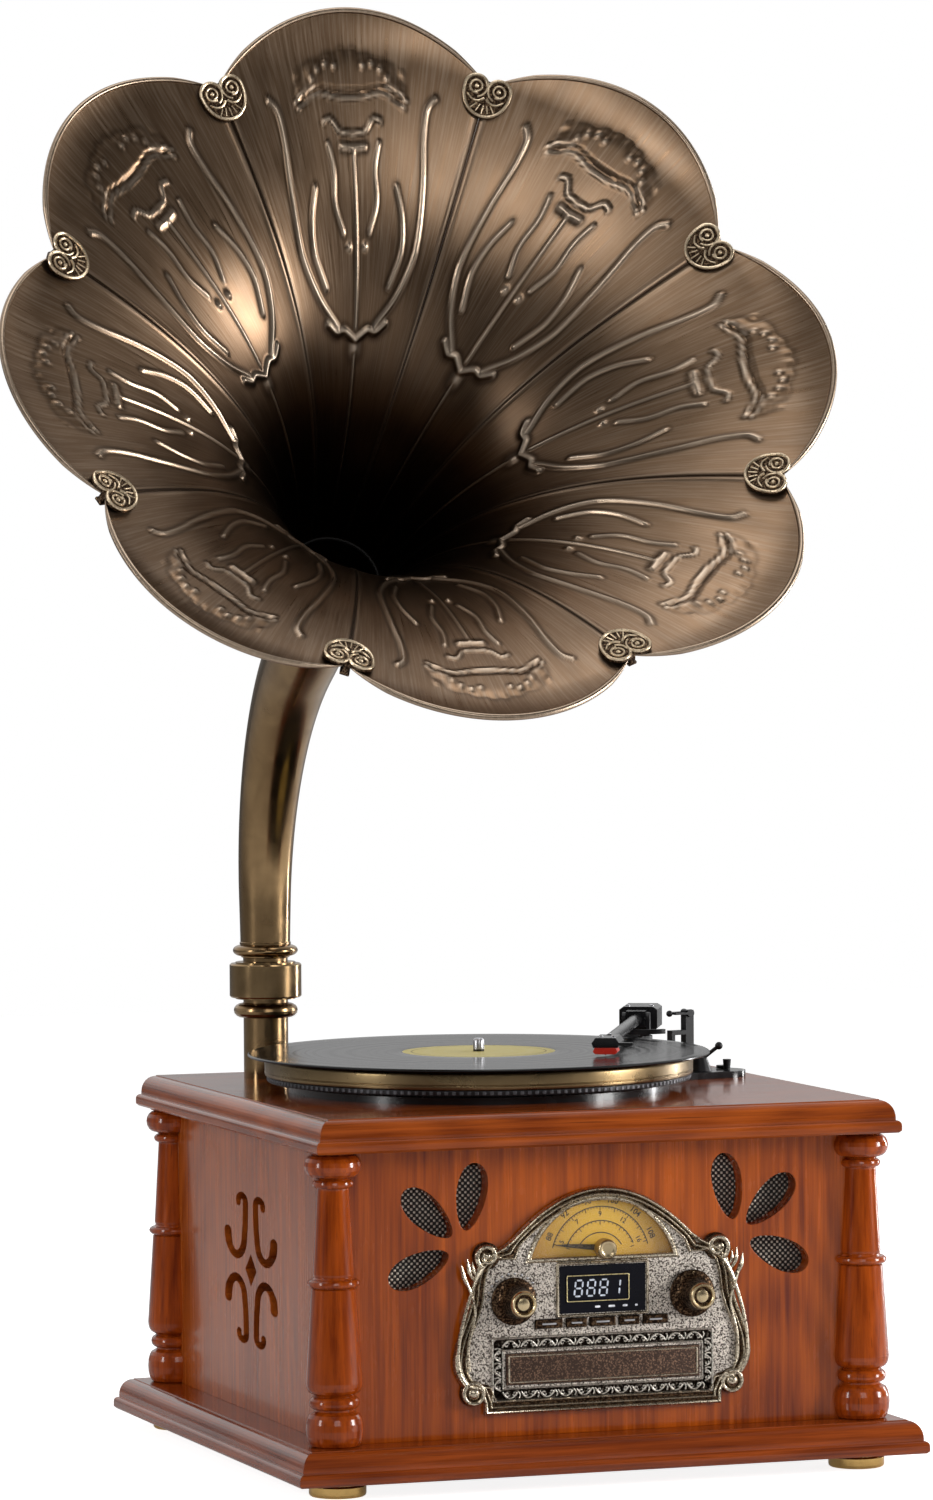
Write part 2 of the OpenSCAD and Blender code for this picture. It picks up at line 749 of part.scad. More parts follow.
// Sections across a petal, closer together at its seams
petal_cols = [-1, -0.976, -0.974, -0.75, -0.5, -0.25, 0, 0.25, 0.5, 0.75, 0.974, 0.976, 1];

// Places a section at v round the axis; the petal ends short of its seams
function petal_ring(v) = let (a = 90 + v * (180 / petals - seam_turn))
    [for (p = petal_section(v)) [p[0] * cos(a), p[0] * sin(a), p[1]]];

module petal(i) {
    rings = [for (v = petal_cols) petal_ring(v)];
    m = len(rings[0]);
    n = len(rings);
    pts = [for (ring = rings) each ring];
    skin = [for (k = [0:n - 2], j = [0:m - 1]) let (q = (j + 1) % m)
        each [[k * m + j, (k + 1) * m + j, (k + 1) * m + q], [k * m + j, (k + 1) * m + q, k * m + q]]];
    // Each end is closed by a strip between its inner and its outer points, up to the tip of its bead
    end = concat(
        [for (j = [0:(m - 5) / 2]) each [[j, j + 1, m - 2 - j], [j, m - 2 - j, m - 1 - j]]],
        [[(m - 3) / 2, (m - 1) / 2, (m + 1) / 2]]
    );
    last = [for (f = end) [f[0], f[2], f[1]] + (n - 1) * m * [1, 1, 1]];
    color(brass) on_bell() rotate([0, 0, petal_turn + 22.5 - 90 + 45 * i])
        polyhedron(pts, concat(skin, end, last));
}

// Double scroll clip that holds two petals together at a notch of the rim
module rim_clip() {
    lean = 23;
    translate([mouth_r - 6, 0, bell_l - 2.4]) rotate([0, -lean, 0]) translate([0, 0, clip_gap]) {
        translate([-6, 0, slide_fit - clip_gap]) cylinder(h = clip_gap, r = 3);
        linear_extrude(clip_t) polygon(arc(0, 0, clip_h, clip_w, 0, 348, 29));
        translate([0, 0, clip_t]) {
            difference() {
                linear_extrude(0.9) polygon(arc(0, 0, clip_h, clip_w, 0, 348, 29));
                translate([0, 0, -over]) linear_extrude(1 + 2 * over)
                    polygon(arc(0, 0, clip_h - 1.8, clip_w - 1.8, 0, 348, 29));
            }
            for (s = [-1, 1]) translate([2.5, s * 6.8, -0.1]) {
                rotate_extrude() translate([4.9, 0]) circle(r = 0.9, $fn = 16);
                cylinder(h = 1.3, r1 = 1.8, r2 = 1.2);
            }
        }
        translate([clip_h - 1.8, -3, -7]) cube([1.8, 6, 7 + clip_t]);
        translate([clip_h - 12, -3, -7.6]) cube([12, 6, 1.8]);
    }
}

module rim_clips() {
    color(brass) on_bell() for (i = [0:petals - 1]) rotate([0, 0, petal_turn + 45 * i]) rim_clip();
}

// Puts the spindle's axis at the origin
module at_spindle() {
    cabinet() translate([deck_x, deck_y, 0]) children();
}

// Puts the motor's shaft at the origin, inside the cabinet's frame
module at_motor() {
    translate([deck_x, deck_y, 0] + motor_reach * [cos(motor_angle), sin(motor_angle), 0]) children();
}

// Footprint of the deck plate: round, with a lobe for the two switches
module deck_shape() {
    dir = [lobe_x - deck_x, lobe_y - deck_y];
    translate([deck_x, deck_y]) {
        circle(r = deck_r, $fn = 128);
        rotate(atan2(dir[1], dir[0])) translate([0, -lobe_r]) square([norm(dir), 2 * lobe_r]);
    }
    translate([lobe_x, lobe_y]) circle(r = lobe_r);
}

module deck_plate() {
    color(black) cabinet() difference() {
        union() {
            translate([0, 0, deck_z]) linear_extrude(deck_t) deck_shape();
            translate([deck_x, deck_y, deck_z - bush_drop]) cylinder(h = bush_drop + 9, r = bush_r);
        }
        translate([deck_x, deck_y, deck_z - bush_drop + 4])
            cylinder(h = bush_drop + 20, r = spindle_r + turn_fit);
        at_motor() translate([0, 0, deck_z - over]) cylinder(h = deck_t + 2 * over, r = 4);
        translate([speed_at[0], speed_at[1], deck_z + 1]) cylinder(h = deck_t, r = 2 + turn_fit);
        translate([stop_at[0], stop_at[1], deck_z + 1]) cylinder(h = deck_t, r = 1.5 + turn_fit);
    }
}

module drive_motor() {
    color([0.6, 0.6, 0.62]) cabinet() at_motor() difference() {
        union() {
            translate([0, 0, deck_z - motor_h]) cylinder(h = motor_h, r = motor_r);
            translate([0, 0, deck_z - motor_h - 4]) cylinder(h = 5, r = 6);
        }
        translate([0, 0, deck_z - motor_h + 4]) cylinder(h = motor_h, r = 1.5 + turn_fit);
    }
}

module motor_pulley() {
    z0 = wheel_z;
    color([0.75, 0.62, 0.3]) cabinet() at_motor() {
        translate([0, 0, z0]) rotate_extrude() polygon([
            [0, 0], [pulley_r + 1.5, 0], [pulley_r + 1.5, 1], [pulley_r, 1.6], [pulley_r, pulley_h - 1.6],
            [pulley_r + 1.5, pulley_h - 1], [pulley_r + 1.5, pulley_h], [0, pulley_h]
        ]);
        translate([0, 0, deck_z - motor_h + 5]) cylinder(h = z0 - deck_z + motor_h - 4, r = 1.5);
    }
}

// Outline of a belt that lies g outside both wheels
function belt_line(g) = let (tilt = acos((wheel_r - pulley_r) / motor_reach)) concat(
    arc(0, 0, wheel_r + g, wheel_r + g, tilt, 360 - tilt, 48),
    arc(motor_reach, 0, pulley_r + g, pulley_r + g, -tilt, tilt, 16)
);

module drive_belt() {
    color(black) at_spindle() rotate([0, 0, motor_angle]) translate([0, 0, wheel_z + 2])
        difference() {
            linear_extrude(belt_w) polygon(belt_line(slide_fit + belt_t));
            translate([0, 0, -over]) linear_extrude(belt_w + 2 * over) polygon(belt_line(slide_fit));
        }
}

module sub_platter() {
    color(black) at_spindle() {
        translate([0, 0, wheel_z]) rotate_extrude() polygon([
            [0, 0], [wheel_r - 6, 0], [wheel_r - 6, 1.4], [wheel_r, 1.4],
            [wheel_r, wheel_h - 0.6], [wheel_r - 8, wheel_h], [0, wheel_h]
        ]);
        translate([0, 0, deck_z - bush_drop + 5])
            cylinder(h = record_z + record_t + spindle_up - 1.5 - deck_z + bush_drop - 5, r = spindle_r);
        translate([0, 0, record_z + record_t + spindle_up - 1.5])
            cylinder(h = 1.5, r1 = spindle_r, r2 = spindle_r - 1.5);
    }
}

module platter() {
    low = platter_top - platter_t;
    color(brass) at_spindle() rotate_extrude($fn = 128) polygon([
        [spindle_r + slip, wheel_z + wheel_h], [wheel_r - 10, wheel_z + wheel_h], [wheel_r - 4, low],
        [platter_r - rim_t - 1, low], [platter_r - rim_t, low - 1],
        [platter_r - rim_t, platter_top - rim_h - 3.4],
        [platter_r - 1.4, platter_top - rim_h - 3.4], [platter_r - 1.4, platter_top - rim_h],
        [platter_r - 0.5, platter_top - rim_h], [platter_r, platter_top - rim_h + 0.6],
        [platter_r, platter_top - 1.2], [platter_r - 1.2, platter_top], [spindle_r + slip, platter_top]
    ]);
}

module slip_mat() {
    color([0.15, 0.14, 0.13]) at_spindle() translate([0, 0, platter_top]) difference() {
        cylinder(h = mat_t, r = platter_r - 2, $fn = 128);
        translate([0, 0, -over]) cylinder(h = mat_t + 2 * over, r = spindle_r + slip);
    }
}

module record() {
    label_r = 50;
    color(black) at_spindle() translate([0, 0, record_z]) rotate_extrude($fn = 128) polygon([
        [spindle_r + slip, 0], [record_r - 0.6, 0], [record_r, 0.5], [record_r, record_t - 0.6],
        [record_r - 0.8, record_t], [record_r - 4, record_t - 0.3], [label_r + 8, record_t - 0.3],
        [label_r, record_t], [spindle_r + slip, record_t]
    ]);
}

// The two small switches on the deck plate's lobe
speed_at = [141, 15];
stop_at = [163, 29];
module speed_lever() {
    color(black) cabinet() translate([speed_at[0], speed_at[1], deck_z]) {
        translate([0, 0, 1.3]) cylinder(h = deck_t, r = 2);
        translate([0, 0, deck_t + slide_fit]) cylinder(h = 9, r1 = 8, r2 = 4.5);
        translate([0, 0, deck_t + 7]) rotate([0, 52, -20]) cylinder(h = 15, r = 1.3, $fn = 24);
        translate([0, 0, deck_t + 7]) rotate([0, 52, -20]) translate([0, 0, 16]) sphere(r = 2.6, $fn = 32);
    }
}

module stop_switch() {
    color(black) cabinet() translate([stop_at[0], stop_at[1], deck_z]) {
        translate([0, 0, 1.3]) cylinder(h = deck_t, r = 1.5);
        translate([0, 0, deck_t + slide_fit]) cylinder(h = 2, r = 4.6);
        translate([-1.3, -8, deck_t + slide_fit]) cube([2.6, 8, 2]);
        translate([0, -7, deck_t + slide_fit]) cylinder(h = 6.5, r1 = 2.2, r2 = 2.8, $fn = 32);
    }
}

// Puts the tonearm's pivot at the origin
module at_pivot() {
    cabinet() translate([pivot_x, pivot_y, 0]) children();
}

lift_turn = -12;
module arm_base() {
    color(black) at_pivot() difference() {
        union() {
            translate([0, 0, deck_z]) rotate_extrude() polygon(concat(
                [[0, 0], [base_r, 0], [base_r, 3.5]],
                arc(base_r - 2.5, 3.5, 2.5, 2.5, 0, 90, 4),
                [[14, 6.5], [12.5, turret_z - deck_z - 0.4], [0, turret_z - deck_z - 0.4]]
            ));
            rotate([0, 0, lift_turn]) translate([0, -lift_post_y, deck_z])
                cylinder(h = turret_z - deck_z - 4, r = lift_post_r + 2.5);
            translate([12, 0, deck_z]) cube([9, 6.5, turret_z - deck_z - 2]);
        }
        translate([0, 0, turret_z - 14]) cylinder(h = 20, r = 4 + turn_fit);
        rotate([0, 0, lift_turn]) translate([0, -lift_post_y, deck_z + 4])
            cylinder(h = turret_z, r = lift_post_r + turn_fit);
        translate([over, cue_y, cue_z]) rotate([0, 90, 0]) cylinder(h = 40, r = 1.5 + turn_fit);
    }
}

// Turret and fork that turn with the arm
module arm_gimbal() {
    ear = 2.4;
    color(black) at_pivot() rotate([0, 0, arm_angle]) difference() {
        union() {
            translate([0, 0, turret_z]) cylinder(h = 3, r = turret_r + 2);
            translate([0, 0, turret_z - 13]) cylinder(h = 14, r = 4);
            for (s = [-1, 1])
                translate([s * (fork_gap + ear) / 2 - ear / 2, -5, turret_z]) {
                    cube([ear, 10, arm_z - turret_z]);
                    translate([0, 5, arm_z - turret_z]) rotate([0, 90, 0]) cylinder(h = ear, r = 5);
                }
        }
        translate([-fork_gap, 0, arm_z]) rotate([0, 90, 0]) cylinder(h = 2 * fork_gap, r = pin_r + turn_fit);
    }
}

// Tube with its pivot block and the head at its far end
module arm_tube() {
    head = 34;
    color(black) at_pivot() rotate([0, 0, arm_angle]) translate([0, 0, arm_z]) {
        rotate([90, 0, 0]) cylinder(h = arm_len - head + 8, r = tube_r);
        rotate([-90, 0, 0]) cylinder(h = 14, r = tube_r);
        translate([-fork_gap / 2 + air, -6, -5]) cube([fork_gap - 2 * air, 12, 11]);
        rotate([0, 90, 0]) cylinder(h = fork_gap + 4, r = pin_r, center = true);
        translate([0, -arm_len + head - 2, 0]) rotate([90, 0, 0]) linear_extrude(head - 2, scale = 1)
            polygon([[-8, -3], [8, -3], [9, 0], [6.5, 3.4], [-6.5, 3.4], [-9, 0]]);
        translate([7, -arm_len - 1.5, -1.5]) cube([11, 3, 2]);
    }
}

// Red stylus holder under the head
module cartridge() {
    color([0.8, 0.1, 0.08]) at_pivot() rotate([0, 0, arm_angle]) translate([0, -arm_len, arm_z - 3 - slip]) {
        translate([0, 14, 0]) rotate([90, 0, 0]) linear_extrude(16)
            polygon([[-7, 0], [-8, -2.4], [-6.5, -4], [6.5, -4], [8, -2.4], [7, 0]]);
        translate([0, 1, -4.9]) cylinder(h = 2, r1 = 0.3, r2 = 1.2, $fn = 24);
    }
}

// Boxy balance weight behind the pivot
module counterweight() {
    half = 13;
    color(black) at_pivot() rotate([0, 0, arm_angle]) translate([0, 14 + slip + weight_l, arm_z])
        rotate([90, 0, 0]) linear_extrude(weight_l) polygon(both([
            [half - 3, -9], [half, -7], [half, 5.7], [half - 3, 7.7]
        ]));
}

// Where the arm's tube lies on its rest
rest_at = [rest_reach * sin(park_angle), -rest_reach * cos(park_angle)];
module arm_rest() {
    floor_z = arm_z - tube_r - air;
    color(black) at_pivot() translate([rest_at[0], rest_at[1], 0]) rotate([0, 0, park_angle]) difference() {
        union() {
            translate([8, 0, deck_z]) cylinder(h = 3, r = 9);
            translate([tube_r + 1.2, -3, deck_z]) cube([6.5, 6, arm_z + 9 - deck_z]);
            translate([-6, -3, floor_z - 3]) cube([14, 6, 3]);
            translate([-6, -3, floor_z - 7]) cube([2.6, 6, 5]);
        }
        translate([tube_r + 4.5, 0, clip_z]) rotate([90, 0, 0])
            cylinder(h = 20, r = 1.2 + turn_fit, center = true);
    }
}

clip_z = arm_z + tube_r + 3;
module rest_clip() {
    color(black) at_pivot() translate([rest_at[0], rest_at[1], 0]) rotate([0, 0, park_angle]) {
        translate([tube_r + 4.5, 0, clip_z]) rotate([90, 0, 0]) cylinder(h = 9, r = 1.2, center = true);
        for (s = [-1, 1]) translate([tube_r + 4.5, s * 4, clip_z]) rotate([90, 0, 0])
            cylinder(h = 1.2, r = 2.6, center = true);
        for (s = [-1, 1]) translate([-3, s * 4 - 0.6, clip_z - 0.8]) cube([tube_r + 7, 1.2, 1.6]);
        translate([-4, -4.6, clip_z - 0.8]) cube([2, 9.2, 1.6]);
        translate([-6, 0, clip_z]) sphere(r = 2.2, $fn = 32);
    }
}

// Curved bar that raises the arm
module lift_bar() {
    top = arm_z - tube_r - 0.7;
    wide = 30;
    thick = 3.2;
    step_z = top - 2.6;
    color(black) at_pivot() rotate([0, 0, lift_turn]) {
        translate([0, 0, top - thick]) intersection() {
            difference() {
                cylinder(h = thick, r = lift_reach + 1.5);
                translate([0, 0, -over]) cylinder(h = 5, r = lift_reach - 1.5);
            }
            translate([0, 0, -over]) linear_extrude(5) polygon([[0, 0], [-60 * sin(wide), -60 * cos(wide)],
                [0, -60], [60 * sin(wide), -60 * cos(wide)]]);
        }
        translate([-2, -lift_reach, step_z - 2]) cube([4, lift_reach - lift_post_y, 2]);
        translate([0, -lift_post_y, deck_z + 4 + slide_fit])
            cylinder(h = step_z - deck_z - 4 - slide_fit, r = lift_post_r);
    }
}

// Hand lever at the side of the arm's base
cue_y = 3.2;
cue_z = deck_z + 12;
module cue_lever() {
    color(black) at_pivot() translate([0, cue_y, cue_z]) {
        translate([13, 0, 0]) rotate([0, 90, 0]) cylinder(h = 12, r = 1.5);
        translate([21 + slide_fit, 0, 0]) rotate([0, 90, 0]) cylinder(h = 3.4, r = 4);
        translate([21 + slide_fit, -20, -1.3]) cube([3.4, 20, 2.6]);
        translate([21 + slide_fit + 1.7, -20, -2.2]) cylinder(h = 4.4, r = 3.4, $fn = 32);
    }
}

// Right half of the front plate's outline, g inside its edge
function face_flank(g) = concat(
    [[0, plate_z + g], [80 - g, plate_z + g], [80 - g, plate_z + 8], [84 - g, plate_z + 17]],
    [for (i = [0:4]) let (t = i / 4) [face_half - 6 * (1 - t) * (1 - t) - g, plate_z + 19 + 14 * t]],
    [for (i = [1:8]) let (t = i / 8) [face_half - 12 * (1 - cos(180 * t)) / 2 - g, plate_z + 33 + 47 * t]],
    [[face_half - 15 - g, plate_z + 92], [74 - g, shoulder_z - 8 - g / 2]],
    [[arch_half + 7 - g, shoulder_z - 4 - g]]
);
function face_arch(g) = [for (i = [12:-1:1]) let (x = (arch_half - g / 2) * i / 12)
    [x, plate_z + face_h - g - arch_drop * pow(x / arch_half, 2)]];
function face_outline(g) = both(concat(face_flank(g), face_arch(g)));

// Leaf spur beside the upper volute
function spur() = [
    [face_half - 14, plate_z + 82], [face_half - 10, plate_z + 85], [face_half - 6.5, plate_z + 93],
    [face_half - 10, plate_z + 91], [face_half - 14, plate_z + 98], [face_half - 20, plate_z + 96]
];

module dial_window(g) {
    intersection() {
        translate([0, dial_c]) circle(r = dial_r - g, $fn = 128);
        translate([-dial_r, dial_z + g]) square([2 * dial_r, dial_r]);
    }
}

// Raised rails and scrolls of the front plate
module face_border() {
    for (band = [[0, 3.6], [5, 7]])
        difference() {
            linear_extrude(face_t + rail_h) polygon(face_outline(band[0]));
            translate([0, 0, -over]) linear_extrude(face_t + rail_h + 2 * over)
                polygon(face_outline(band[1]));
        }
    for (s = [-1, 1]) {
        translate([s * (face_half - 22.5), plate_z + 100, 0]) {
            cylinder(h = face_t + rail_h - 1, r = volute_r);
            translate([0, 0, face_t + rail_h - 1]) rotate_extrude()
                translate([volute_r - 2, 0]) circle(r = 2, $fn = 24);
            cylinder(h = face_t + rail_h + 1, r1 = 4, r2 = 2);
        }
        translate([s * (face_half - 13), plate_z + 14, 0]) {
            cylinder(h = face_t + rail_h - 1, r = scroll_ball_r);
            translate([0, 0, face_t]) rotate_extrude()
                polygon(concat([[0, 0]], arc(0, 0, scroll_ball_r - 3, scroll_ball_r - 3, 0, 90, 6)));
            translate([0, 0, face_t + rail_h - 1]) rotate_extrude() translate([scroll_ball_r - 1.4, 0])
                circle(r = 1.4, $fn = 24);
        }
    }
    linear_extrude(face_t + rail_h) {
        polygon(spur());
        mirror([1, 0]) polygon(spur());
    }
}

// Raised frames of the dial window, the display and the drawer
module face_frames() {
    difference() {
        linear_extrude(face_t + 1.2) dial_window(-2.6);
        translate([0, 0, -over]) linear_extrude(face_t + 4) dial_window(0);
    }
    difference() {
        translate([0, tray_z, 0]) linear_extrude(face_t + 1.4) square([149, 40], center = true);
        translate([0, tray_z, face_t + 0.6]) linear_extrude(3) square([145, 36], center = true);
    }
    for (i = [-5:5], s = [-1, 1])
        translate([i * 12.4, tray_z + s * 14.6, face_t]) rotate_extrude()
            translate([3, 0]) circle(r = 0.9, $fn = 16);
}

module faceplate() {
    color([0.55, 0.54, 0.5]) on_front() difference() {
        union() {
            linear_extrude(face_t) polygon(face_outline(0));
            face_border();
            face_frames();
        }
        translate([0, 0, -over]) linear_extrude(12) {
            dial_window(0);
            translate([0, display_z]) square([display_w, display_h], center = true);
            translate([0, tray_z])
                square([drawer_w + 2 * slide_fit, drawer_h + 2 * slide_fit], center = true);
            for (i = [0:4]) translate([button_x[i], button_z])
                square([button_w[i] + 2 * slide_fit, button_h + 2 * slide_fit], center = true);
        }
        for (s = [-1, 1]) translate([s * knob_x, knob_z, -over]) cylinder(h = 12, r = shaft_r3 + air);
    }
}

module dial_card() {
    color([0.85, 0.66, 0.16]) on_front() translate([0, 0, -card_t - 0.7]) difference() {
        linear_extrude(card_t) dial_window(-2);
        translate([0, tuner_z, -over]) cylinder(h = 5, r = shaft_r3 + air);
    }
}

module dial_glass() {
    color([0.9, 0.9, 0.85, 0.4]) on_front() translate([0, 0, face_t - 1.8]) difference() {
        linear_extrude(1.2) dial_window(slip);
        translate([0, tuner_z, -over]) cylinder(h = 5, r = shaft_r3 + air);
    }
}

module dial_pointer() {
    color(black) on_front() translate([0, tuner_z, -0.3]) difference() {
        union() {
            cylinder(h = 0.9, r = shaft_r3 + 1);
            rotate([0, 0, 180 - needle_up]) linear_extrude(0.9)
                polygon([[0, -2], [needle_l - 8, -1], [needle_l, 0], [needle_l - 8, 1], [0, 2]]);
        }
        translate([0, 0, -over]) cylinder(h = 4, r = shaft_r3 + slip);
    }
}

module tuning_knob() {
    color([0.6, 0.5, 0.3]) on_front() translate([0, tuner_z, 0]) {
        translate([0, 0, -bush_l]) cylinder(h = bush_l + face_t + 2, r = shaft_r3);
        translate([0, 0, face_t + 1.6]) rotate_extrude() polygon([
            [0, 0], [tuner_r, 0], [tuner_r, tuner_l - 1.4], [tuner_r - 1.4, tuner_l],
            [tuner_r - 2.4, tuner_l], [tuner_r - 3, tuner_l - 0.8], [0, tuner_l - 0.8]
        ]);
    }
}

module display_window() {
    color([0.05, 0.05, 0.07]) on_front() translate([0, display_z, 0]) {
        linear_extrude(face_t + 0.4) square([display_w - 2 * slip, display_h - 2 * slip], center = true);
        translate([-3.4, 0.6, face_t + 0.4]) difference() {
            linear_extrude(0.7) square([43, 17.5], center = true);
            translate([0, 0, -over]) linear_extrude(3) square([40, 14.5], center = true);
        }
    }
}

// Large knob on a skirt, with its shaft
module large_knob() {
    base = face_t + 0.6;
    translate([0, 0, -bush_l]) cylinder(h = bush_l + base + 1, r = shaft_r3);
    translate([0, 0, base]) rotate_extrude() polygon([
        [0, 0], [skirt_r, 0], [skirt_r, skirt_t - 1], [skirt_r - 1, skirt_t], [knob_r + 1, skirt_t],
        [knob_r - 0.6, skirt_t + 2], [knob_r - 0.6, skirt_t + knob_l - 4], [knob_r, skirt_t + knob_l - 3],
        [knob_r, skirt_t + knob_l - 1], [knob_r - 1, skirt_t + knob_l], [knob_r - 2.6, skirt_t + knob_l],
        [knob_r - 3.4, skirt_t + knob_l - 1.6], [0, skirt_t + knob_l - 1.6]
    ]);
}

module volume_knob() {
    color([0.5, 0.42, 0.28]) on_front() translate([-knob_x, knob_z, 0]) large_knob();
}

module function_knob() {
    color([0.5, 0.42, 0.28]) on_front() translate([knob_x, knob_z, 0]) large_knob();
}

module button(i) {
    color([0.35, 0.3, 0.22]) on_front() translate([button_x[i], button_z, 0]) {
        translate([0, 0, -3]) linear_extrude(3 + face_t + 1.6) square([button_w[i], button_h], center = true);
        translate([0, 0, -1.4]) linear_extrude(1) square([button_w[i] + 1, button_h + 2], center = true);
    }
}

module disc_tray() {
    floor_z = tray_z - drawer_h / 2 - slide_fit - 0.5 + slide_fit;
    color([0.3, 0.24, 0.18]) {
        on_front() translate([0, tray_z, 0.6]) linear_extrude(front_t)
            square([drawer_w, drawer_h], center = true);
        cabinet() difference() {
            translate([-drawer_w / 2 + 1, -body_d / 2 - 1, floor_z + 0.5])
                cube([drawer_w - 2, tray_l, tray_t]);
            translate([0, -body_d / 2 + disc_r + 5, floor_z + 0.5 + tray_t - recess_t])
                cylinder(h = 10, r = disc_r, $fn = 128);
            translate([0, -body_d / 2 + disc_r + 5, floor_z - over]) cylinder(h = 20, r = 17);
        }
    }
}

module disc_drive() {
    cavity_h = drawer_h + 2 * slide_fit;
    color([0.45, 0.45, 0.47]) cabinet() difference() {
        translate([-drive_half, -body_d / 2, tray_z - drive_h / 2]) cube([2 * drive_half, drive_l, drive_h]);
        translate([-drawer_w / 2 - slide_fit, -body_d / 2 - over, tray_z - cavity_h / 2])
            cube([drawer_w + 2 * slide_fit, drive_l - drive_wall + over, cavity_h]);
    }
}

plinth_board();
top_board();
front_panel();
left_panel();
right_panel();
back_panel();
columns();
feet();
grilles();
speakers();
circuit_board();
mains_transformer();
rear_sockets();
horn_driver();
socket_pipe();
lock_collar();
elbow_pipe();
petal(0);  // petal_1
petal(1);  // petal_2
petal(2);  // petal_3
petal(3);  // petal_4
petal(4);  // petal_5
petal(5);  // petal_6
petal(6);  // petal_7
petal(7);  // petal_8
rim_clips();
deck_plate();
drive_motor();
motor_pulley();
drive_belt();
sub_platter();
platter();
slip_mat();
record();
speed_lever();
stop_switch();
arm_base();
arm_gimbal();
arm_tube();
cartridge();
counterweight();
arm_rest();
rest_clip();
lift_bar();
cue_lever();
faceplate();
dial_card();
dial_glass();
dial_pointer();
tuning_knob();
display_window();
volume_knob();
function_knob();
button(0);  // button_1
button(1);  // button_2
button(2);  // button_3
button(3);  // button_4
button(4);  // button_5
disc_tray();
disc_drive();
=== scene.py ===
"""Horn gramophone: finishes and fine pieces of its cabinet, radio front, turntable, tonearm and horn.

Lengths are millimetres in the cabinet's own frame, with x to the right, y to the back and z up from the
standing face. Shape.piece turns them into metres in the model's frame. The lamps, the floor paper and the
scales of the textures go by metres.
"""

import logging
import math
from dataclasses import dataclass, field
from enum import Enum
from typing import Any, Iterable, Sequence

import bmesh
import bpy
import numpy as np
from mathutils import Matrix, Vector


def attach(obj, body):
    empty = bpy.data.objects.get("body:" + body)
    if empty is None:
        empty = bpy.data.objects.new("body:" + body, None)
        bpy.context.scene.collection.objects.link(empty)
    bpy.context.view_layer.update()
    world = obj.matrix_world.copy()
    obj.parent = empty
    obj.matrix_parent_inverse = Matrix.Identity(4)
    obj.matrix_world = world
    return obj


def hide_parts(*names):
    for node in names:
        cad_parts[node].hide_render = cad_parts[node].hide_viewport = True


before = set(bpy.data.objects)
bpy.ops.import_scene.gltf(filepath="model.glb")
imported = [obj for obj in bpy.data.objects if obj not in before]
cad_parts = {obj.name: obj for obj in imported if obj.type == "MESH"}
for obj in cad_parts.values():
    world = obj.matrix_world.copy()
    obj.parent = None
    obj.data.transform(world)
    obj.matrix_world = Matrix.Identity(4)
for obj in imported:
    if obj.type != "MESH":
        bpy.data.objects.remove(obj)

LOG = logging.getLogger("gramophone")

Flat = tuple[float, float]
Spot = tuple[float, float, float]
Colour = tuple[float, float, float, float]
Line = Sequence[Sequence[float]]
Raw = tuple[Line, list[tuple[int, ...]]]
Grid = np.ndarray
Node = bpy.types.Node
Socket = bpy.types.NodeSocket

METRE = 0.001
WELD = 2e-4
CREASE = math.radians(38)
CABINET = Vector((99.0, 96.0, 0.0))
FRONT_Y = -171.5


def colour(red: int, green: int, blue: int) -> Colour:
    """A linear colour from the 0 to 255 values that a paint chart gives."""
    return (*(((c / 255 + 0.055) / 1.055) ** 2.4 if c > 10 else c / 255 / 12.92 for c in (red, green, blue)), 1.0)


def shift(x: float, y: float, z: float = 0.0) -> Matrix:
    """A move by millimetres."""
    return Matrix.Translation((x, y, z))


def turn(degrees: float, axis: str) -> Matrix:
    """A turn about an axis through the origin."""
    return Matrix.Rotation(math.radians(degrees), 4, axis)


TO_MODEL = Matrix.Scale(METRE, 4) @ Matrix.Translation(CABINET)
ON_FRONT = Matrix(((1, 0, 0, 0), (0, 0, -1, FRONT_Y), (0, 1, 0, 0), (0, 0, 0, 1)))


# Shapes


def arc(cx: float, cy: float, rx: float, ry: float, start: float, stop: float, steps: int) -> list[Flat]:
    """Points along part of an ellipse.

    Args:
        cx: Centre, across.
        cy: Centre, up.
        rx: Radius across.
        ry: Radius up.
        start: First angle in degrees.
        stop: Last angle in degrees.
        steps: Number of stretches.

    Returns:
        The points in order.
    """
    angles = np.radians(np.linspace(start, stop, steps + 1))
    return [(cx + rx * math.cos(a), cy + ry * math.sin(a)) for a in angles]


def smooth_line(points: Line, steps: int = 6) -> Grid:
    """A smooth line through points.

    Args:
        points: Points in two or three dimensions.
        steps: Number of stretches between two points.

    Returns:
        The points of the smooth line.
    """
    p = np.asarray(points, float)
    p = np.vstack([2 * p[0] - p[1], p, 2 * p[-1] - p[-2]])
    out = []
    for i in range(1, len(p) - 2):
        for t in np.arange(steps) / steps:
            a, b, c, d = p[i - 1 : i + 3]
            out.append(
                0.5 * (2 * b + (c - a) * t + (2 * a - 5 * b + 4 * c - d) * t**2 + (3 * b - a - 3 * c + d) * t**3)
            )
    out.append(p[-2])
    return np.array(out)


def spiral(cx: float, cy: float, r0: float, r1: float, start: float, stop: float, steps: int) -> list[Flat]:
    """Points of a spiral whose radius changes evenly.

    Args:
        cx: Centre, across.
        cy: Centre, up.
        r0: First radius.
        r1: Last radius.
        start: First angle in degrees.
        stop: Last angle in degrees.
        steps: Number of stretches.

    Returns:
        The points in order.
    """
    out = []
    for i in range(steps + 1):
        r = r0 + (r1 - r0) * i / steps
        a = math.radians(start + (stop - start) * i / steps)
        out.append((cx + r * math.cos(a), cy + r * math.sin(a)))
    return out


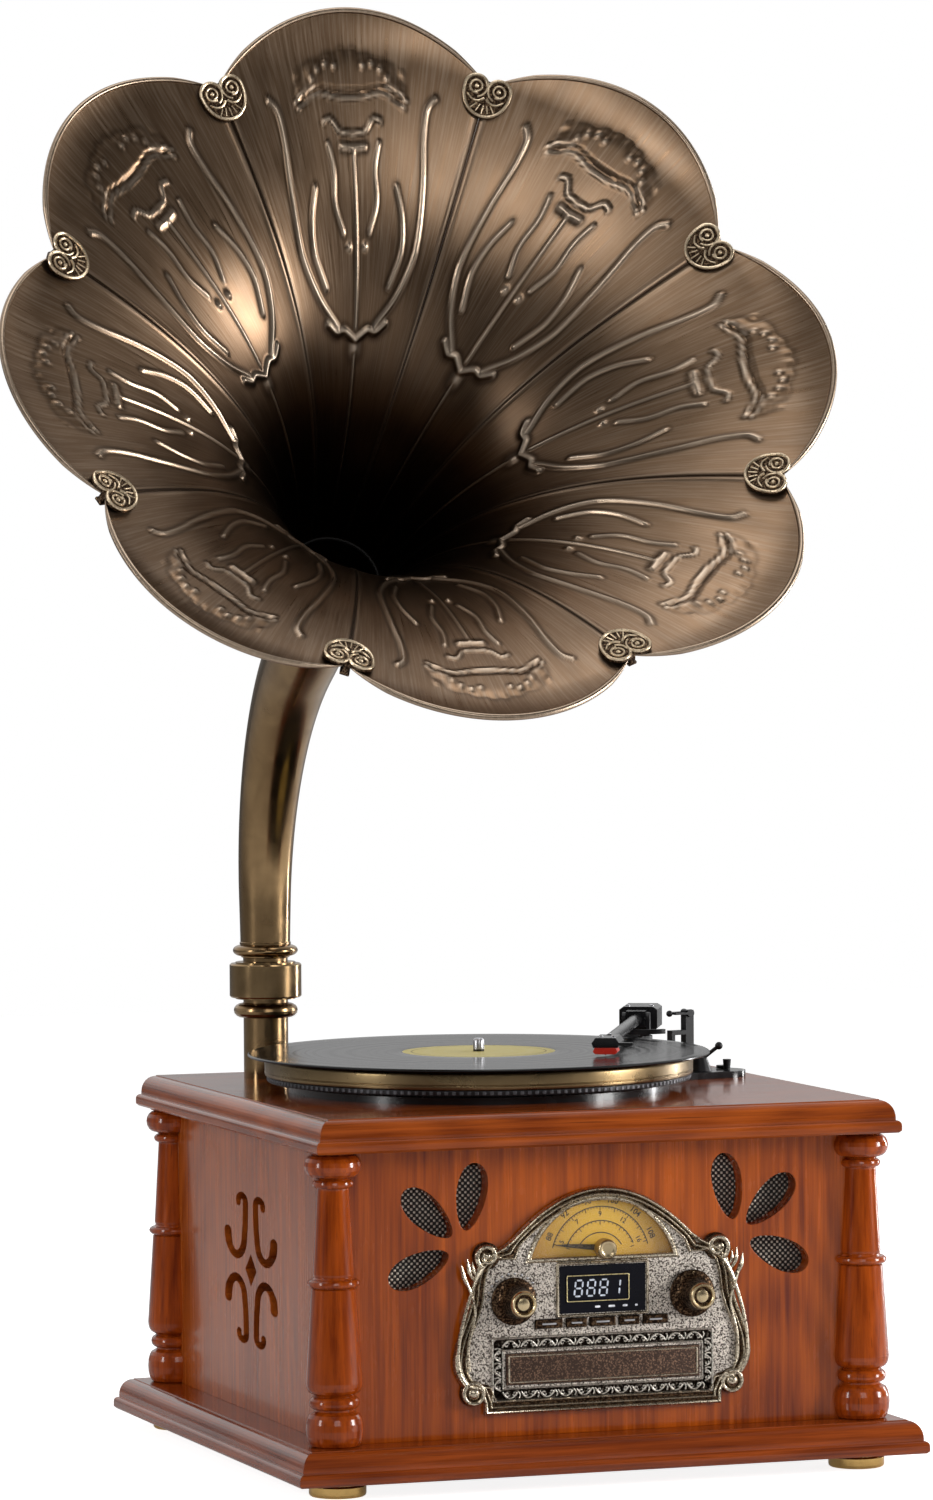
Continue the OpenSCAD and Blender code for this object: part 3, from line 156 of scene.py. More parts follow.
def lathe(profile: Sequence[Flat], sides: int = 96) -> Raw:
    """A turned shape about z.

    Args:
        profile: Radius and height of each point.
        sides: Number of facets round the axis.

    Returns:
        Its points and faces.
    """
    points: list[Sequence[float]] = []
    rows: list[list[int]] = []
    for r, z in profile:
        count = sides if r > 1e-6 else 1
        rows.append(list(range(len(points), len(points) + count)))
        points += [
            (r * math.cos(2 * math.pi * i / sides), r * math.sin(2 * math.pi * i / sides), z) for i in range(count)
        ]
    faces = []
    for low, high in zip(rows, rows[1:]):
        for i in range(sides):
            j = (i + 1) % sides
            ring = (low[i % len(low)], low[j % len(low)], high[j % len(high)], high[i % len(high)])
            face = tuple(dict.fromkeys(ring))
            if len(face) > 2:
                faces.append(face)
    return points, faces


def tube(path: Line, radius: float | Sequence[float], sides: int = 8) -> Raw:
    """A round bar along a path, with closed ends.

    Args:
        path: Points in three dimensions; two dimensions lie at z 0.
        radius: One radius, or one for each point.
        sides: Number of facets round the bar.

    Returns:
        Its points and faces.
    """
    p = np.asarray(path, float)
    if p.shape[1] == 2:
        p = np.hstack([p, np.zeros((len(p), 1))])
    r = np.broadcast_to(np.asarray(radius, float), (len(p),))
    ahead = np.gradient(p, axis=0)
    ahead /= np.linalg.norm(ahead, axis=1)[:, None] + 1e-12
    side = np.cross(ahead[0], (0, 0, 1.0))
    if np.linalg.norm(side) < 0.1:
        side = np.cross(ahead[0], (1.0, 0, 0))
    points = []
    for k in range(len(p)):
        side = side - ahead[k] * (side @ ahead[k])
        side /= np.linalg.norm(side)
        up = np.cross(side, ahead[k])
        for i in range(sides):
            a = 2 * math.pi * i / sides
            points.append(p[k] + r[k] * (side * math.cos(a) + up * math.sin(a)))
    faces = [
        (k * sides + i, k * sides + (i + 1) % sides, (k + 1) * sides + (i + 1) % sides, (k + 1) * sides + i)
        for k in range(len(p) - 1) for i in range(sides)
    ]
    faces.append(tuple(range(sides))[::-1])
    faces.append(tuple((len(p) - 1) * sides + i for i in range(sides)))
    return points, faces


def rail(outline: Line, section: Sequence[Flat], closed: bool = True) -> Raw:
    """A moulding that follows an outline in its plane.

    Args:
        outline: The line in the plane.
        section: Points of the section, each its distance to the left of the line and its height.
        closed: Whether the line joins its own start.

    Returns:
        Its points and faces.
    """
    p = np.asarray(outline, float)[:, :2]
    if closed:
        before, after = p - np.roll(p, 1, 0), np.roll(p, -1, 0) - p
    else:
        step = np.diff(p, axis=0)
        before, after = np.vstack([step[:1], step]), np.vstack([step, step[-1:]])
    before /= np.linalg.norm(before, axis=1)[:, None] + 1e-12
    after /= np.linalg.norm(after, axis=1)[:, None] + 1e-12
    mid = before + after
    mid /= np.linalg.norm(mid, axis=1)[:, None] + 1e-12
    left = np.stack([-mid[:, 1], mid[:, 0]], 1) / np.clip((mid * after).sum(1), 0.55, 1)[:, None]
    m, n = len(section), len(p)
    points = [(*(p[k] + left[k] * across), up) for k in range(n) for across, up in section]
    faces = [
        (k * m + i, ((k + 1) % n) * m + i, ((k + 1) % n) * m + (i + 1) % m, k * m + (i + 1) % m)
        for k in range(n if closed else n - 1) for i in range(m)
    ]
    if not closed:
        faces += [tuple(range(m)), tuple((n - 1) * m + i for i in range(m))[::-1]]
    return points, faces


def round_top(width: float, low: float, high: float, steps: int = 8) -> list[Flat]:
    """Section of a moulding with a flat foot and a half-round top."""
    top = arc(0, low, width / 2, high - low, 0, 180, steps)
    return [(width / 2, low - 0.6), *top, (-width / 2, low - 0.6)]


def put(name: str, data: bpy.types.ID) -> bpy.types.Object:
    """A new object of the scene with the given data.

    Args:
        name: Its name.
        data: Its mesh, curve, lamp or camera.

    Returns:
        The object.
    """
    made = bpy.data.objects.new(name, data)
    bpy.context.scene.collection.objects.link(made)
    return made


def baked(curve: bpy.types.Curve) -> bpy.types.Mesh:
    """The mesh that a curve makes; the curve itself goes.

    Args:
        curve: The curve.

    Returns:
        The mesh.
    """
    holder = put(curve.name, curve)
    made = bpy.data.meshes.new_from_object(holder.evaluated_get(bpy.context.evaluated_depsgraph_get()))
    bpy.data.objects.remove(holder)
    bpy.data.curves.remove(curve)
    return made


def cut_plate(
    outline: Sequence[Flat], holes: Iterable[Sequence[Flat]] = (), depth: float = 1.0, bevel: float = 0.0
) -> Raw:
    """A flat plate with holes and rounded edges, from z 0 to its depth.

    Args:
        outline: Its edge.
        holes: The edges of its holes.
        depth: Its thickness.
        bevel: Radius of its rounded edges.

    Returns:
        Its points and faces.
    """
    curve = bpy.data.curves.new("plate", "CURVE")
    curve.dimensions, curve.fill_mode = "2D", "BOTH"
    curve.extrude, curve.offset = depth / 2 - bevel, -bevel
    curve.bevel_depth, curve.bevel_resolution = bevel, 2
    for ring in [outline, *holes]:
        spline = curve.splines.new("POLY")
        spline.points.add(len(ring) - 1)
        spline.points.foreach_set("co", [c for q in ring for c in (q[0], q[1], 0.0, 1.0)])
        spline.use_cyclic_u = True
    made = baked(curve)
    work = bmesh.new()
    work.from_mesh(made)
    bmesh.ops.remove_doubles(work, verts=work.verts, dist=WELD)
    points = [(v.co.x, v.co.y, v.co.z + depth / 2) for v in work.verts]
    faces = [tuple(v.index for v in f.verts) for f in work.faces]
    work.free()
    bpy.data.meshes.remove(made)
    return points, faces


def figures(text: str, size: float, depth: float) -> Raw:
    """Flat figures about their own middle.

    Args:
        text: The digits.
        size: Height of a line.
        depth: Thickness.

    Returns:
        Points and faces.
    """
    curve = bpy.data.curves.new("figures", "FONT")
    curve.body, curve.size, curve.extrude, curve.resolution_u = text, size, depth / 2, 3
    curve.align_x, curve.align_y, curve.offset = "CENTER", "CENTER", 0.02 * size
    made = baked(curve)
    points = [tuple(v.co) for v in made.vertices]
    faces = [tuple(f.vertices) for f in made.polygons]
    bpy.data.meshes.remove(made)
    return points, faces


def oblong(width: float, height: float, corner: float = 0.0, cx: float = 0.0, cy: float = 0.0) -> list[Flat]:
    """Outline of a rectangle with rounded corners about a point.

    Args:
        width: Size across.
        height: Size up.
        corner: Radius of the corners.
        cx: Centre, across.
        cy: Centre, up.

    Returns:
        The points of the outline.
    """
    if corner <= 0:
        return [(cx + sx * width / 2, cy + sy * height / 2) for sx, sy in ((-1, -1), (1, -1), (1, 1), (-1, 1))]
    x, y = width / 2 - corner, height / 2 - corner
    out: list[Flat] = []
    for sx, sy, a in ((1, -1, -90), (1, 1, 0), (-1, 1, 90), (-1, -1, 180)):
        out += arc(cx + sx * x, cy + sy * y, corner, corner, a, a + 90, 5)
    return out


def ink_section(half: float, low: float) -> list[Flat]:
    """Section of a printed line of half a width at a height."""
    return [(-half, low), (-half, low + 0.1), (half, low + 0.1), (half, low)]


def ball(radius: float, start: float = -90.0, rows: int = 12) -> list[Flat]:
    """Profile of a ball, or of a dome where it starts at 0 degrees."""
    points = arc(0, 0, radius, radius, start, 90, rows)
    return [(max(r, 0.0) if i < rows else 0.0, z) for i, (r, z) in enumerate(points)]


@dataclass
class Shape:
    """Points and faces gathered for one mesh, with the number of its finish for each face."""

    points: list[Grid] = field(default_factory=list)
    faces: list[tuple[int, ...]] = field(default_factory=list)
    finish: list[int] = field(default_factory=list)
    count: int = 0

    def add(self, raw: Raw, place: Matrix | None = None, finish: int = 0) -> "Shape":
        """Adds points and faces.

        Args:
            raw: The points and faces.
            place: Where they go in the cabinet's frame.
            finish: Number of their finish.

        Returns:
            This shape, for a further call.
        """
        p = np.asarray(raw[0], float).reshape(-1, 3)
        if place is not None:
            m = np.array(place)
            p = p @ m[:3, :3].T + m[:3, 3]
        self.points.append(p)
        self.faces += [tuple(i + self.count for i in face) for face in raw[1]]
        self.finish += [finish] * len(raw[1])
        self.count += len(p)
        return self

    def piece(self, name: str, finishes: Sequence["Finish"]) -> bpy.types.Object:
        """Makes the object in the model's frame.

        Args:
            name: Its name.
            finishes: Its finishes in the order of their numbers.

        Returns:
            The object.
        """
        mesh = bpy.data.meshes.new(name)
        m = np.array(TO_MODEL)
        p = np.vstack(self.points) @ m[:3, :3].T + m[:3, 3]
        mesh.from_pydata(p.tolist(), [], self.faces)
        for finish in finishes:
            mesh.materials.append(finish.material())
        mesh.polygons.foreach_set("material_index", self.finish)
        work = bmesh.new()
        work.from_mesh(mesh)
        bmesh.ops.recalc_face_normals(work, faces=work.faces)
        work.to_mesh(mesh)
        work.free()
        mesh.update()
        mesh.shade_smooth()
        mesh.set_sharp_from_angle(angle=CREASE)
        return put(name, mesh)


def seat(piece: bpy.types.Object, body: str, slot: str, *nodes: str) -> None:
    """Puts a piece on its body.

    Args:
        piece: The piece.
        body: The body that it moves with.
        slot: Not used; the name of the material slot that its finish belongs to.
        nodes: The nodes that it stands for.
    """
    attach(piece, body)
    if nodes:
        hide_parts(*nodes)
    LOG.info("%s: %d faces on %s", piece.name, len(piece.data.polygons), body)


# Node graphs


class Graph:
    """Short ways to add and join the nodes of one tree."""

    def __init__(self, tree: bpy.types.NodeTree) -> None:
        """Works on the given tree."""
        self.tree = tree

    def add(self, kind: str, values: dict[str | int, Any] | None = None, **settings: Any) -> Node:
        """Adds a node.

        Args:
            kind: Its type without the common prefix.
            values: Numbers, colours or sockets for its inputs.
            settings: Its properties.

        Returns:
            The node.
        """
        node = self.tree.nodes.new("ShaderNode" + kind)
        for key, value in settings.items():
            setattr(node, key, value)
        return self.fill(node, values or {})

    def fill(self, node: Node, values: dict[Any, Any]) -> Node:
        """Fills a node's inputs.

        Args:
            node: The node.
            values: Numbers, colours or sockets for its inputs.

        Returns:
            The node.
        """
        for key, value in values.items():
            if isinstance(value, Socket):
                self.tree.links.new(value, node.inputs[key])
            else:
                node.inputs[key].default_value = value
        return node

    def math(self, operation: str, a: Any, b: Any = 0.0, clamp: bool = False) -> Socket:
        """The result of a sum on one or two numbers."""
        return self.add("Math", {0: a, 1: b}, operation=operation, use_clamp=clamp).outputs[0]

    def plus(self, a: Any, b: Any, clamp: bool = False) -> Socket:
        """The sum of two numbers."""
        return self.math("ADD", a, b, clamp)

    def times(self, a: Any, b: Any) -> Socket:
        """The product of two numbers."""
        return self.math("MULTIPLY", a, b)

    def minus(self, a: Any, b: Any) -> Socket:
        """The difference of two numbers."""
        return self.math("SUBTRACT", a, b)

    def offset(self, a: Any, b: Any) -> Socket:
        """The difference of two vectors."""
        return self.add("VectorMath", {0: a, 1: b}, operation="SUBTRACT").outputs[0]

    def sized(self, vector: Any, scale: Any) -> Socket:
        """A vector times a number."""
        return self.add("VectorMath", {0: vector, "Scale": scale}, operation="SCALE").outputs[0]

    def blend(self, share: Any, a: Any, b: Any) -> Socket:
        """A mix of two colours."""
        return self.add("Mix", {0: share, 6: a, 7: b}, data_type="RGBA").outputs[2]

    def noise(self, vector: Any, scale: float, detail: float = 3.0, rough: float = 0.5) -> Socket:
        """A cloudy value over the surface."""
        values = {"Vector": vector, "Scale": scale, "Detail": detail, "Roughness": rough}
        return self.add("TexNoise", values).outputs[0]

    def stretched(self, vector: Any, scale: Sequence[float], turned: Sequence[float] = (0, 0, 0)) -> Socket:
        """Coordinates that are scaled and then turned."""
        return self.add("Mapping", {"Vector": vector, "Scale": scale, "Rotation": turned}).outputs[0]

    def span(self, value: Any, low: float, high: float, out_low: float = 0.0, out_high: float = 1.0) -> Socket:
        """A value stretched from one range to another and held inside it."""
        values = {"Value": value, "From Min": low, "From Max": high, "To Min": out_low, "To Max": out_high}
        return self.add("MapRange", values).outputs[0]

    def bump(self, height: Any, depth: float, strength: float = 1.0, normal: Any = None) -> Socket:
        """A normal from a height, at a depth in millimetres.

        Args:
            height: The height.
            depth: Its full depth.
            strength: Share of the depth that shows.
            normal: The normal that it starts from.

        Returns:
            The normal.
        """
        values = {"Height": height, "Distance": depth * METRE, "Strength": strength}
        if normal is not None:
            values["Normal"] = normal
        return self.add("Bump", values).outputs[0]

    def place(self) -> Socket:
        """Coordinates fixed to the piece."""
        return self.add("TexCoord").outputs["Object"]

    def effect(self, kind: type["Effect"], values: dict[str, Any]) -> Node:
        """Places a shared effect with its own values.

        Args:
            kind: The effect.
            values: Numbers, colours or sockets for its inputs.

        Returns:
            The group's node.
        """
        node = self.tree.nodes.new("ShaderNodeGroup")
        node.node_tree = kind.group()
        return self.fill(node, values)


class Effect:
    """A node group that several finishes use, made the first time that one asks for it."""

    name = ""
    takes: tuple[tuple[str, str, Any], ...] = ()
    gives: tuple[tuple[str, str], ...] = ()

    @classmethod
    def group(cls) -> bpy.types.NodeTree:
        """The group's tree.

        Returns:
            The tree, made on the first call.
        """
        found = bpy.data.node_groups.get(cls.name)
        if found:
            return found
        tree = bpy.data.node_groups.new(cls.name, "ShaderNodeTree")
        for name, kind, value in cls.takes:
            socket = tree.interface.new_socket(name, in_out="INPUT", socket_type="NodeSocket" + kind)
            if value is not None:
                socket.default_value = value
        for name, kind in cls.gives:
            tree.interface.new_socket(name, in_out="OUTPUT", socket_type="NodeSocket" + kind)
        graph = Graph(tree)
        given = tree.nodes.new("NodeGroupInput").outputs
        results = cls.wire(graph, given)
        end = tree.nodes.new("NodeGroupOutput")
        for name, socket in results.items():
            tree.links.new(socket, end.inputs[name])
        return tree

    @classmethod
    def wire(cls, g: Graph, given: Any) -> dict[str, Socket]:
        """Joins the group's nodes.

        Args:
            g: Its graph.
            given: Its inputs by name.

        Returns:
            A socket for each output.
        """
        raise NotImplementedError


class WoodGrain(Effect):
    """Veneer with broad bands, fine streaks and dark pores; the grain runs along z."""

    name = "wood_grain"
    takes = (("Vector", "Vector", None), ("Light", "Color", (1, 1, 1, 1)), ("Dark", "Color", (0, 0, 0, 1)),
             ("Pore", "Color", (0, 0, 0, 1)), ("Figure", "Float", 1.0))
    gives = (("Color", "Color"), ("Roughness", "Float"), ("Height", "Float"))

    @classmethod
    def wire(cls, g: Graph, given: Any) -> dict[str, Socket]:
        """Joins bands, streaks, flames and pores.

        Args:
            g: Its graph.
            given: Its inputs by name.

        Returns:
            A socket for each output.
        """
        p = given["Vector"]
        broad = g.noise(g.stretched(p, (16, 16, 1.6)), 1.0, 3.0, 0.55)
        streak = g.noise(g.stretched(p, (250, 250, 8)), 1.0, 5.0, 0.62)
        hair = g.noise(g.stretched(p, (900, 900, 16)), 1.0, 2.0, 0.5)
        bent = g.noise(g.stretched(p, (9, 9, 2.2)), 1.0, 1.0, 0.4)
        flames = g.math("SINE", g.times(bent, 95.0))
        flames = g.times(g.span(flames, -1, 1), given["Figure"])
        tone = g.plus(g.times(broad, 0.5), g.times(streak, 0.9))
        tone = g.plus(tone, g.times(flames, 0.2))
        tone = g.span(tone, 0.48, 0.98)
        pores = g.times(g.span(hair, 0.6, 0.72), g.span(streak, 0.3, 0.75))
        shade = g.blend(tone, given["Dark"], given["Light"])
        shade = g.blend(g.times(pores, 0.75), shade, given["Pore"])
        rough = g.span(streak, 0.3, 0.8, 0.0, 0.08)
        height = g.minus(g.times(streak, 0.3), pores)
        return {"Color": shade, "Roughness": rough, "Height": height}


class BrushLines(Effect):
    """Fine brush lines along z, with a broader drift between them."""

    name = "brush_lines"
    takes = (("Vector", "Vector", None), ("Fineness", "Float", 1.0))
    gives = (("Lines", "Float"), ("Drift", "Float"))

    @classmethod
    def wire(cls, g: Graph, given: Any) -> dict[str, Socket]:
        """Joins two noises that are drawn out along z.

        Args:
            g: Its graph.
            given: Its inputs by name.

        Returns:
            A socket for each output.
        """
        sized = g.sized(given["Vector"], given["Fineness"])
        lines = g.noise(g.stretched(sized, (800, 800, 12)), 1.0, 4.0, 0.7)
        drift = g.noise(g.stretched(sized, (60, 60, 9)), 1.0, 3.0, 0.5)
        return {"Lines": lines, "Drift": drift}


class Smudges(Effect):
    """Soft marks left by handling and ageing."""

    name = "smudges"
    takes = (("Vector", "Vector", None), ("Scale", "Float", 20.0))
    gives = (("Mask", "Float"),)

    @classmethod
    def wire(cls, g: Graph, given: Any) -> dict[str, Socket]:
        """Sharpens a warped noise a little.

        Args:
            g: Its graph.
            given: Its inputs by name.

        Returns:
            A socket for each output.
        """
        sized = g.sized(given["Vector"], given["Scale"])
        cloud = g.add("TexNoise", {"Vector": sized, "Scale": 1.0, "Detail": 4.0, "Distortion": 0.8}).outputs[0]
        return {"Mask": g.span(cloud, 0.35, 0.7)}


class Grit(Effect):
    """Grain of cast or blasted metal and moulded plastic: a mask of dark pits and a height."""

    name = "grit"
    takes = (("Vector", "Vector", None), ("Scale", "Float", 900.0), ("Cover", "Float", 0.5))
    gives = (("Mask", "Float"), ("Height", "Float"))

    @classmethod
    def wire(cls, g: Graph, given: Any) -> dict[str, Socket]:
        """Joins round grains with a noise.

        Args:
            g: Its graph.
            given: Its inputs by name.

        Returns:
            A socket for each output.
        """
        sized = g.sized(given["Vector"], given["Scale"])
        cells = g.add(
            "TexVoronoi", {"Vector": sized, "Scale": 1.0, "Randomness": 1.0}, feature="F1"
        ).outputs["Distance"]
        cloud = g.noise(sized, 0.8, 3.0, 0.6)
        height = g.minus(g.times(cloud, 1.2), g.times(cells, 0.6))
        edge = g.minus(given["Cover"], 0.12)
        top = g.plus(given["Cover"], 0.12)
        mask = g.add("MapRange", {"Value": height, "From Min": edge, "From Max": top}).outputs[0]
        return {"Mask": mask, "Height": height}


class WireWeave(Effect):
    """Plain weave of wire: a mask of its crossings, where a highlight is painted, and its height."""

    name = "wire_weave"
    takes = (("Across", "Float", 0.0), ("Up", "Float", 0.0), ("Pitch", "Float", 1.8))
    gives = (("Mask", "Float"), ("Height", "Float"))

    @classmethod
    def wire(cls, g: Graph, given: Any) -> dict[str, Socket]:
        """Crosses two waves, so that every other square stands up.

        Args:
            g: Its graph.
            given: Its inputs by name.

        Returns:
            A socket for each output.
        """
        turn_by = g.math("DIVIDE", math.pi / METRE, given["Pitch"])
        a = g.math("SINE", g.times(given["Across"], turn_by))
        b = g.math("SINE", g.times(given["Up"], turn_by))
        both = g.times(a, b)
        return {"Mask": g.span(both, 0.05, 0.5), "Height": g.span(both, -0.4, 0.8)}


class RoundLines(Effect):
    """Lines round an axis along z: the distance from it, the angle and fine rings."""

    name = "round_lines"
    takes = (("Vector", "Vector", None), ("Centre", "Vector", (0, 0, 0)), ("Pitch", "Float", 1.0))
    gives = (("Radius", "Float"), ("Angle", "Float"), ("Rings", "Float"))

    @classmethod
    def wire(cls, g: Graph, given: Any) -> dict[str, Socket]:
        """Measures from the axis and draws rings of an uneven depth.

        Args:
            g: Its graph.
            given: Its inputs by name.

        Returns:
            A socket for each output.
        """
        off = g.offset(given["Vector"], given["Centre"])
        flat = g.add("VectorMath", {0: off, 1: (1, 1, 0)}, operation="MULTIPLY").outputs[0]
        radius = g.add("VectorMath", {0: flat}, operation="LENGTH").outputs["Value"]
        split = g.add("SeparateXYZ", {0: flat}).outputs
        angle = g.math("ARCTAN2", split[1], split[0])
        millimetres = g.math("DIVIDE", radius, METRE)
        phase = g.math("DIVIDE", millimetres, given["Pitch"])
        rings = g.math("SINE", g.times(phase, 2 * math.pi))
        spread = g.add("TexNoise", {"W": g.times(millimetres, 1.7), "Scale": 1.0, "Detail": 3.0}, noise_dimensions="1D")
        deep = g.plus(g.times(rings, 0.5), spread.outputs[0])
        return {"Radius": millimetres, "Angle": angle, "Rings": deep}


class WornEdge(Effect):
    """A soft edge for a sharp solid, and a mask where the edge is."""

    name = "worn_edge"
    takes = (("Radius", "Float", 0.0006),)
    gives = (("Mask", "Float"), ("Normal", "Vector"))

    @classmethod
    def wire(cls, g: Graph, given: Any) -> dict[str, Socket]:
        """Compares the rounded normal with the plain one.

        Args:
            g: Its graph.
            given: Its inputs by name.

        Returns:
            A socket for each output.
        """
        soft = g.add("Bevel", {"Radius": given["Radius"]}, samples=4).outputs[0]
        plain = g.add("NewGeometry").outputs["Normal"]
        same = g.add("VectorMath", {0: soft, 1: plain}, operation="DOT_PRODUCT").outputs["Value"]
        return {"Mask": g.span(same, 0.995, 0.8), "Normal": soft}


# Finishes


class Grain(Enum):
    """The way that a grain or a brush line runs."""

    ACROSS = "x"
    BACK = "y"
    UP = "z"

    def to_z(self) -> Spot:
        """The turn that brings this direction to z."""
        return {"x": (0, -math.pi / 2, 0), "y": (math.pi / 2, 0, 0), "z": (0, 0, 0)}[self.value]


@dataclass(frozen=True)
class Finish:
    """A material that is made once under its own name."""

    name: str

    def material(self) -> bpy.types.Material:
        """The finished material, whose name no plain material of the frame has.

        Returns:
            The material, made on the first call.
        """
        own = self.name + "_finish"
        found = bpy.data.materials.get(own)
        if found:
            return found
        made = bpy.data.materials.new(own)
        made.use_nodes = True
        made.node_tree.nodes.clear()
        graph = Graph(made.node_tree)
        shader = graph.add("BsdfPrincipled")
        graph.add("OutputMaterial", {"Surface": shader.outputs[0]})
        self.dress(graph, shader)
        return made

    def dress(self, g: Graph, shader: Node) -> None:
        """Joins this finish's nodes to the shader.

        Args:
            g: Its graph.
            shader: Its shader.
        """
        raise NotImplementedError


@dataclass(frozen=True)
class Varnish(Finish):
    """Stained and varnished wood."""

    light: Colour = colour(188, 88, 12)
    dark: Colour = colour(96, 30, 4)
    pore: Colour = colour(48, 15, 6)
    grain: Grain = Grain.UP
    figure: float = 0.6
    rough: float = 0.2
    mitre: Flat | None = None
    mitre_w: float = 12.0
    edge: float = 0.9

    def dress(self, g: Graph, shader: Node) -> None:
        """Grain, rounded edges and a clear coat; a mitred frame turns its grain at the sides.

        Args:
            g: Its graph.
            shader: Its shader.
        """
        place = g.place()
        turned = g.stretched(place, (1, 1, 1), self.grain.to_z())
        if self.mitre:
            off = g.offset(place, (*(CABINET * METRE).xy, 0))
            part = g.add("SeparateXYZ", {0: g.add("VectorMath", {0: off}, operation="ABSOLUTE").outputs[0]}).outputs
            beyond = g.minus(part[0], (self.mitre[0] - self.mitre[1]) / 2 * METRE)
            side = g.math("GREATER_THAN", beyond, part[1])
            outer = g.math("GREATER_THAN", part[0], (self.mitre[0] / 2 - self.mitre_w) * METRE)
            share = g.times(side, outer)
            other = g.stretched(place, (1, 1, 1), Grain.BACK.to_z())
            turned = g.add("Mix", {0: share, 4: turned, 5: other}, data_type="VECTOR").outputs[1]
        colours = {"Light": self.light, "Dark": self.dark, "Pore": self.pore, "Figure": self.figure}
        wood = g.effect(WoodGrain, {"Vector": turned, **colours}).outputs
        worn = g.effect(WornEdge, {"Radius": self.edge * METRE}).outputs
        marks = g.effect(Smudges, {"Vector": place, "Scale": 24.0}).outputs[0]
        rough = g.plus(g.plus(wood["Roughness"], self.rough), g.times(marks, 0.05))
        base = g.blend(g.times(worn["Mask"], 0.3), wood["Color"], self.light)
        g.fill(shader, {
            "Base Color": base, "Roughness": rough, "Specular IOR Level": 0.25, "Coat Weight": 0.25,
            "Coat Roughness": 0.05, "Normal": g.bump(wood["Height"], 0.05, 0.5, worn["Normal"]),
        })


@dataclass(frozen=True)
class HornBronze(Finish):
    """Antique bronze sheet, brushed from throat to rim, with a painted highlight on its ridges, patina beside them and
    painted shade towards the throat.
    """

    base: Colour = colour(136, 110, 86)
    bright: Colour = colour(222, 206, 186)
    dark: Colour = colour(46, 32, 22)
    rough: float = 0.3
    # throat and deep: the radii in mm over which painted shade darkens the sheet towards the throat, and the share of
    # dark it reaches there
    throat: Flat = (165.0, 55.0)
    deep: float = 0.85
    hollow: float = 0.9
    # ridge: share of the painted highlight on the ridges' tops, over some rubbed wear
    ridge: float = 0.45

    def dress(self, g: Graph, shader: Node) -> None:
        """Reads the stamping's masks from the mesh, for a painted highlight on the ridges and patina in the hollows,
        and the brush lines round the horn's axis.

        Args:
            g: Its graph.
            shader: Its shader.
        """
        place = g.place()
        polar = g.effect(RoundLines, {"Vector": place, "Centre": (0, 0, 0), "Pitch": 3.0}).outputs
        part = g.add("SeparateXYZ", {0: place}).outputs
        across = g.add("CombineXYZ", {0: g.times(part[1], -1.0), 1: part[0]}).outputs[0]
        tangent = g.add(
            "VectorTransform", {0: across}, vector_type="VECTOR", convert_from="OBJECT", convert_to="WORLD"
        ).outputs[0]
        around = g.times(polar["Angle"], 0.16)
        along = g.plus(g.times(polar["Radius"], METRE), part[2])
        field_at = g.add("CombineXYZ", {0: around, 1: 0.0, 2: along}).outputs[0]
        lines = g.effect(BrushLines, {"Vector": field_at, "Fineness": 1.0}).outputs
        marks = g.effect(Smudges, {"Vector": place, "Scale": 11.0}).outputs[0]
        stamped_highlight_and_patina = g.add("SeparateColor", {0: g.add("Attribute", attribute_name="stamping").outputs["Color"]}).outputs
        shade = g.blend(g.span(lines["Drift"], 0.3, 0.75, 0.7, 1.0), self.dark, self.base)
        shade = g.blend(g.times(g.span(lines["Lines"], 0.45, 0.8), 0.25), shade, self.bright)
        shade = g.blend(g.times(marks, 0.12), shade, self.dark)
        # painted shade: darker towards the throat, deep in the bell
        shade = g.blend(g.span(polar["Radius"], *self.throat, 0.0, self.deep), shade, self.dark)
        shade = g.blend(g.times(stamped_highlight_and_patina[1], self.hollow), shade, self.dark)
        # painted highlight on the ridges' tops, the rolled rim and the folds, over rubbed wear
        shade = g.blend(g.times(stamped_highlight_and_patina[0], self.ridge), shade, self.bright)
        rough = g.plus(g.span(lines["Lines"], 0.3, 0.7, -0.06, 0.06), self.rough)
        rough = g.plus(rough, g.times(marks, 0.08))
        g.fill(shader, {
            "Base Color": shade, "Metallic": 1.0, "Roughness": rough, "Anisotropic": 0.55, "Tangent": tangent,
            "Normal": g.bump(lines["Lines"], 0.05, 0.35),
        })


@dataclass(frozen=True)
class BrushedMetal(Finish):
    """Brushed or polished metal with a dull film in places."""

    base: Colour
    dark: Colour
    rough: float
    film: float
    lines: float = 0.3
    grain: Grain = Grain.UP
    edge: float = 0.3

    def dress(self, g: Graph, shader: Node) -> None:
        """Brush lines, a darker film and lighter edges.

        Args:
            g: Its graph.
            shader: Its shader.
        """
        place = g.place()
        brushed = g.effect(
            BrushLines, {"Vector": g.stretched(place, (1, 1, 1), self.grain.to_z()), "Fineness": 0.8}
        ).outputs
        marks = g.effect(Smudges, {"Vector": place, "Scale": 42.0}).outputs[0]
        worn = g.effect(WornEdge, {"Radius": self.edge * METRE}).outputs
        film = g.times(g.plus(g.times(marks, 0.6), g.span(brushed["Drift"], 0.35, 0.75, 0.0, 0.5)), self.film)
        shade = g.blend(film, self.base, self.dark)
        shade = g.blend(g.times(worn["Mask"], 0.5), shade, self.base)
        rough = g.plus(g.times(marks, 0.12), self.rough)
        g.fill(shader, {
            "Base Color": shade, "Metallic": 1.0, "Roughness": rough,
            "Normal": g.bump(brushed["Lines"], 0.04, self.lines, worn["Normal"]),
        })


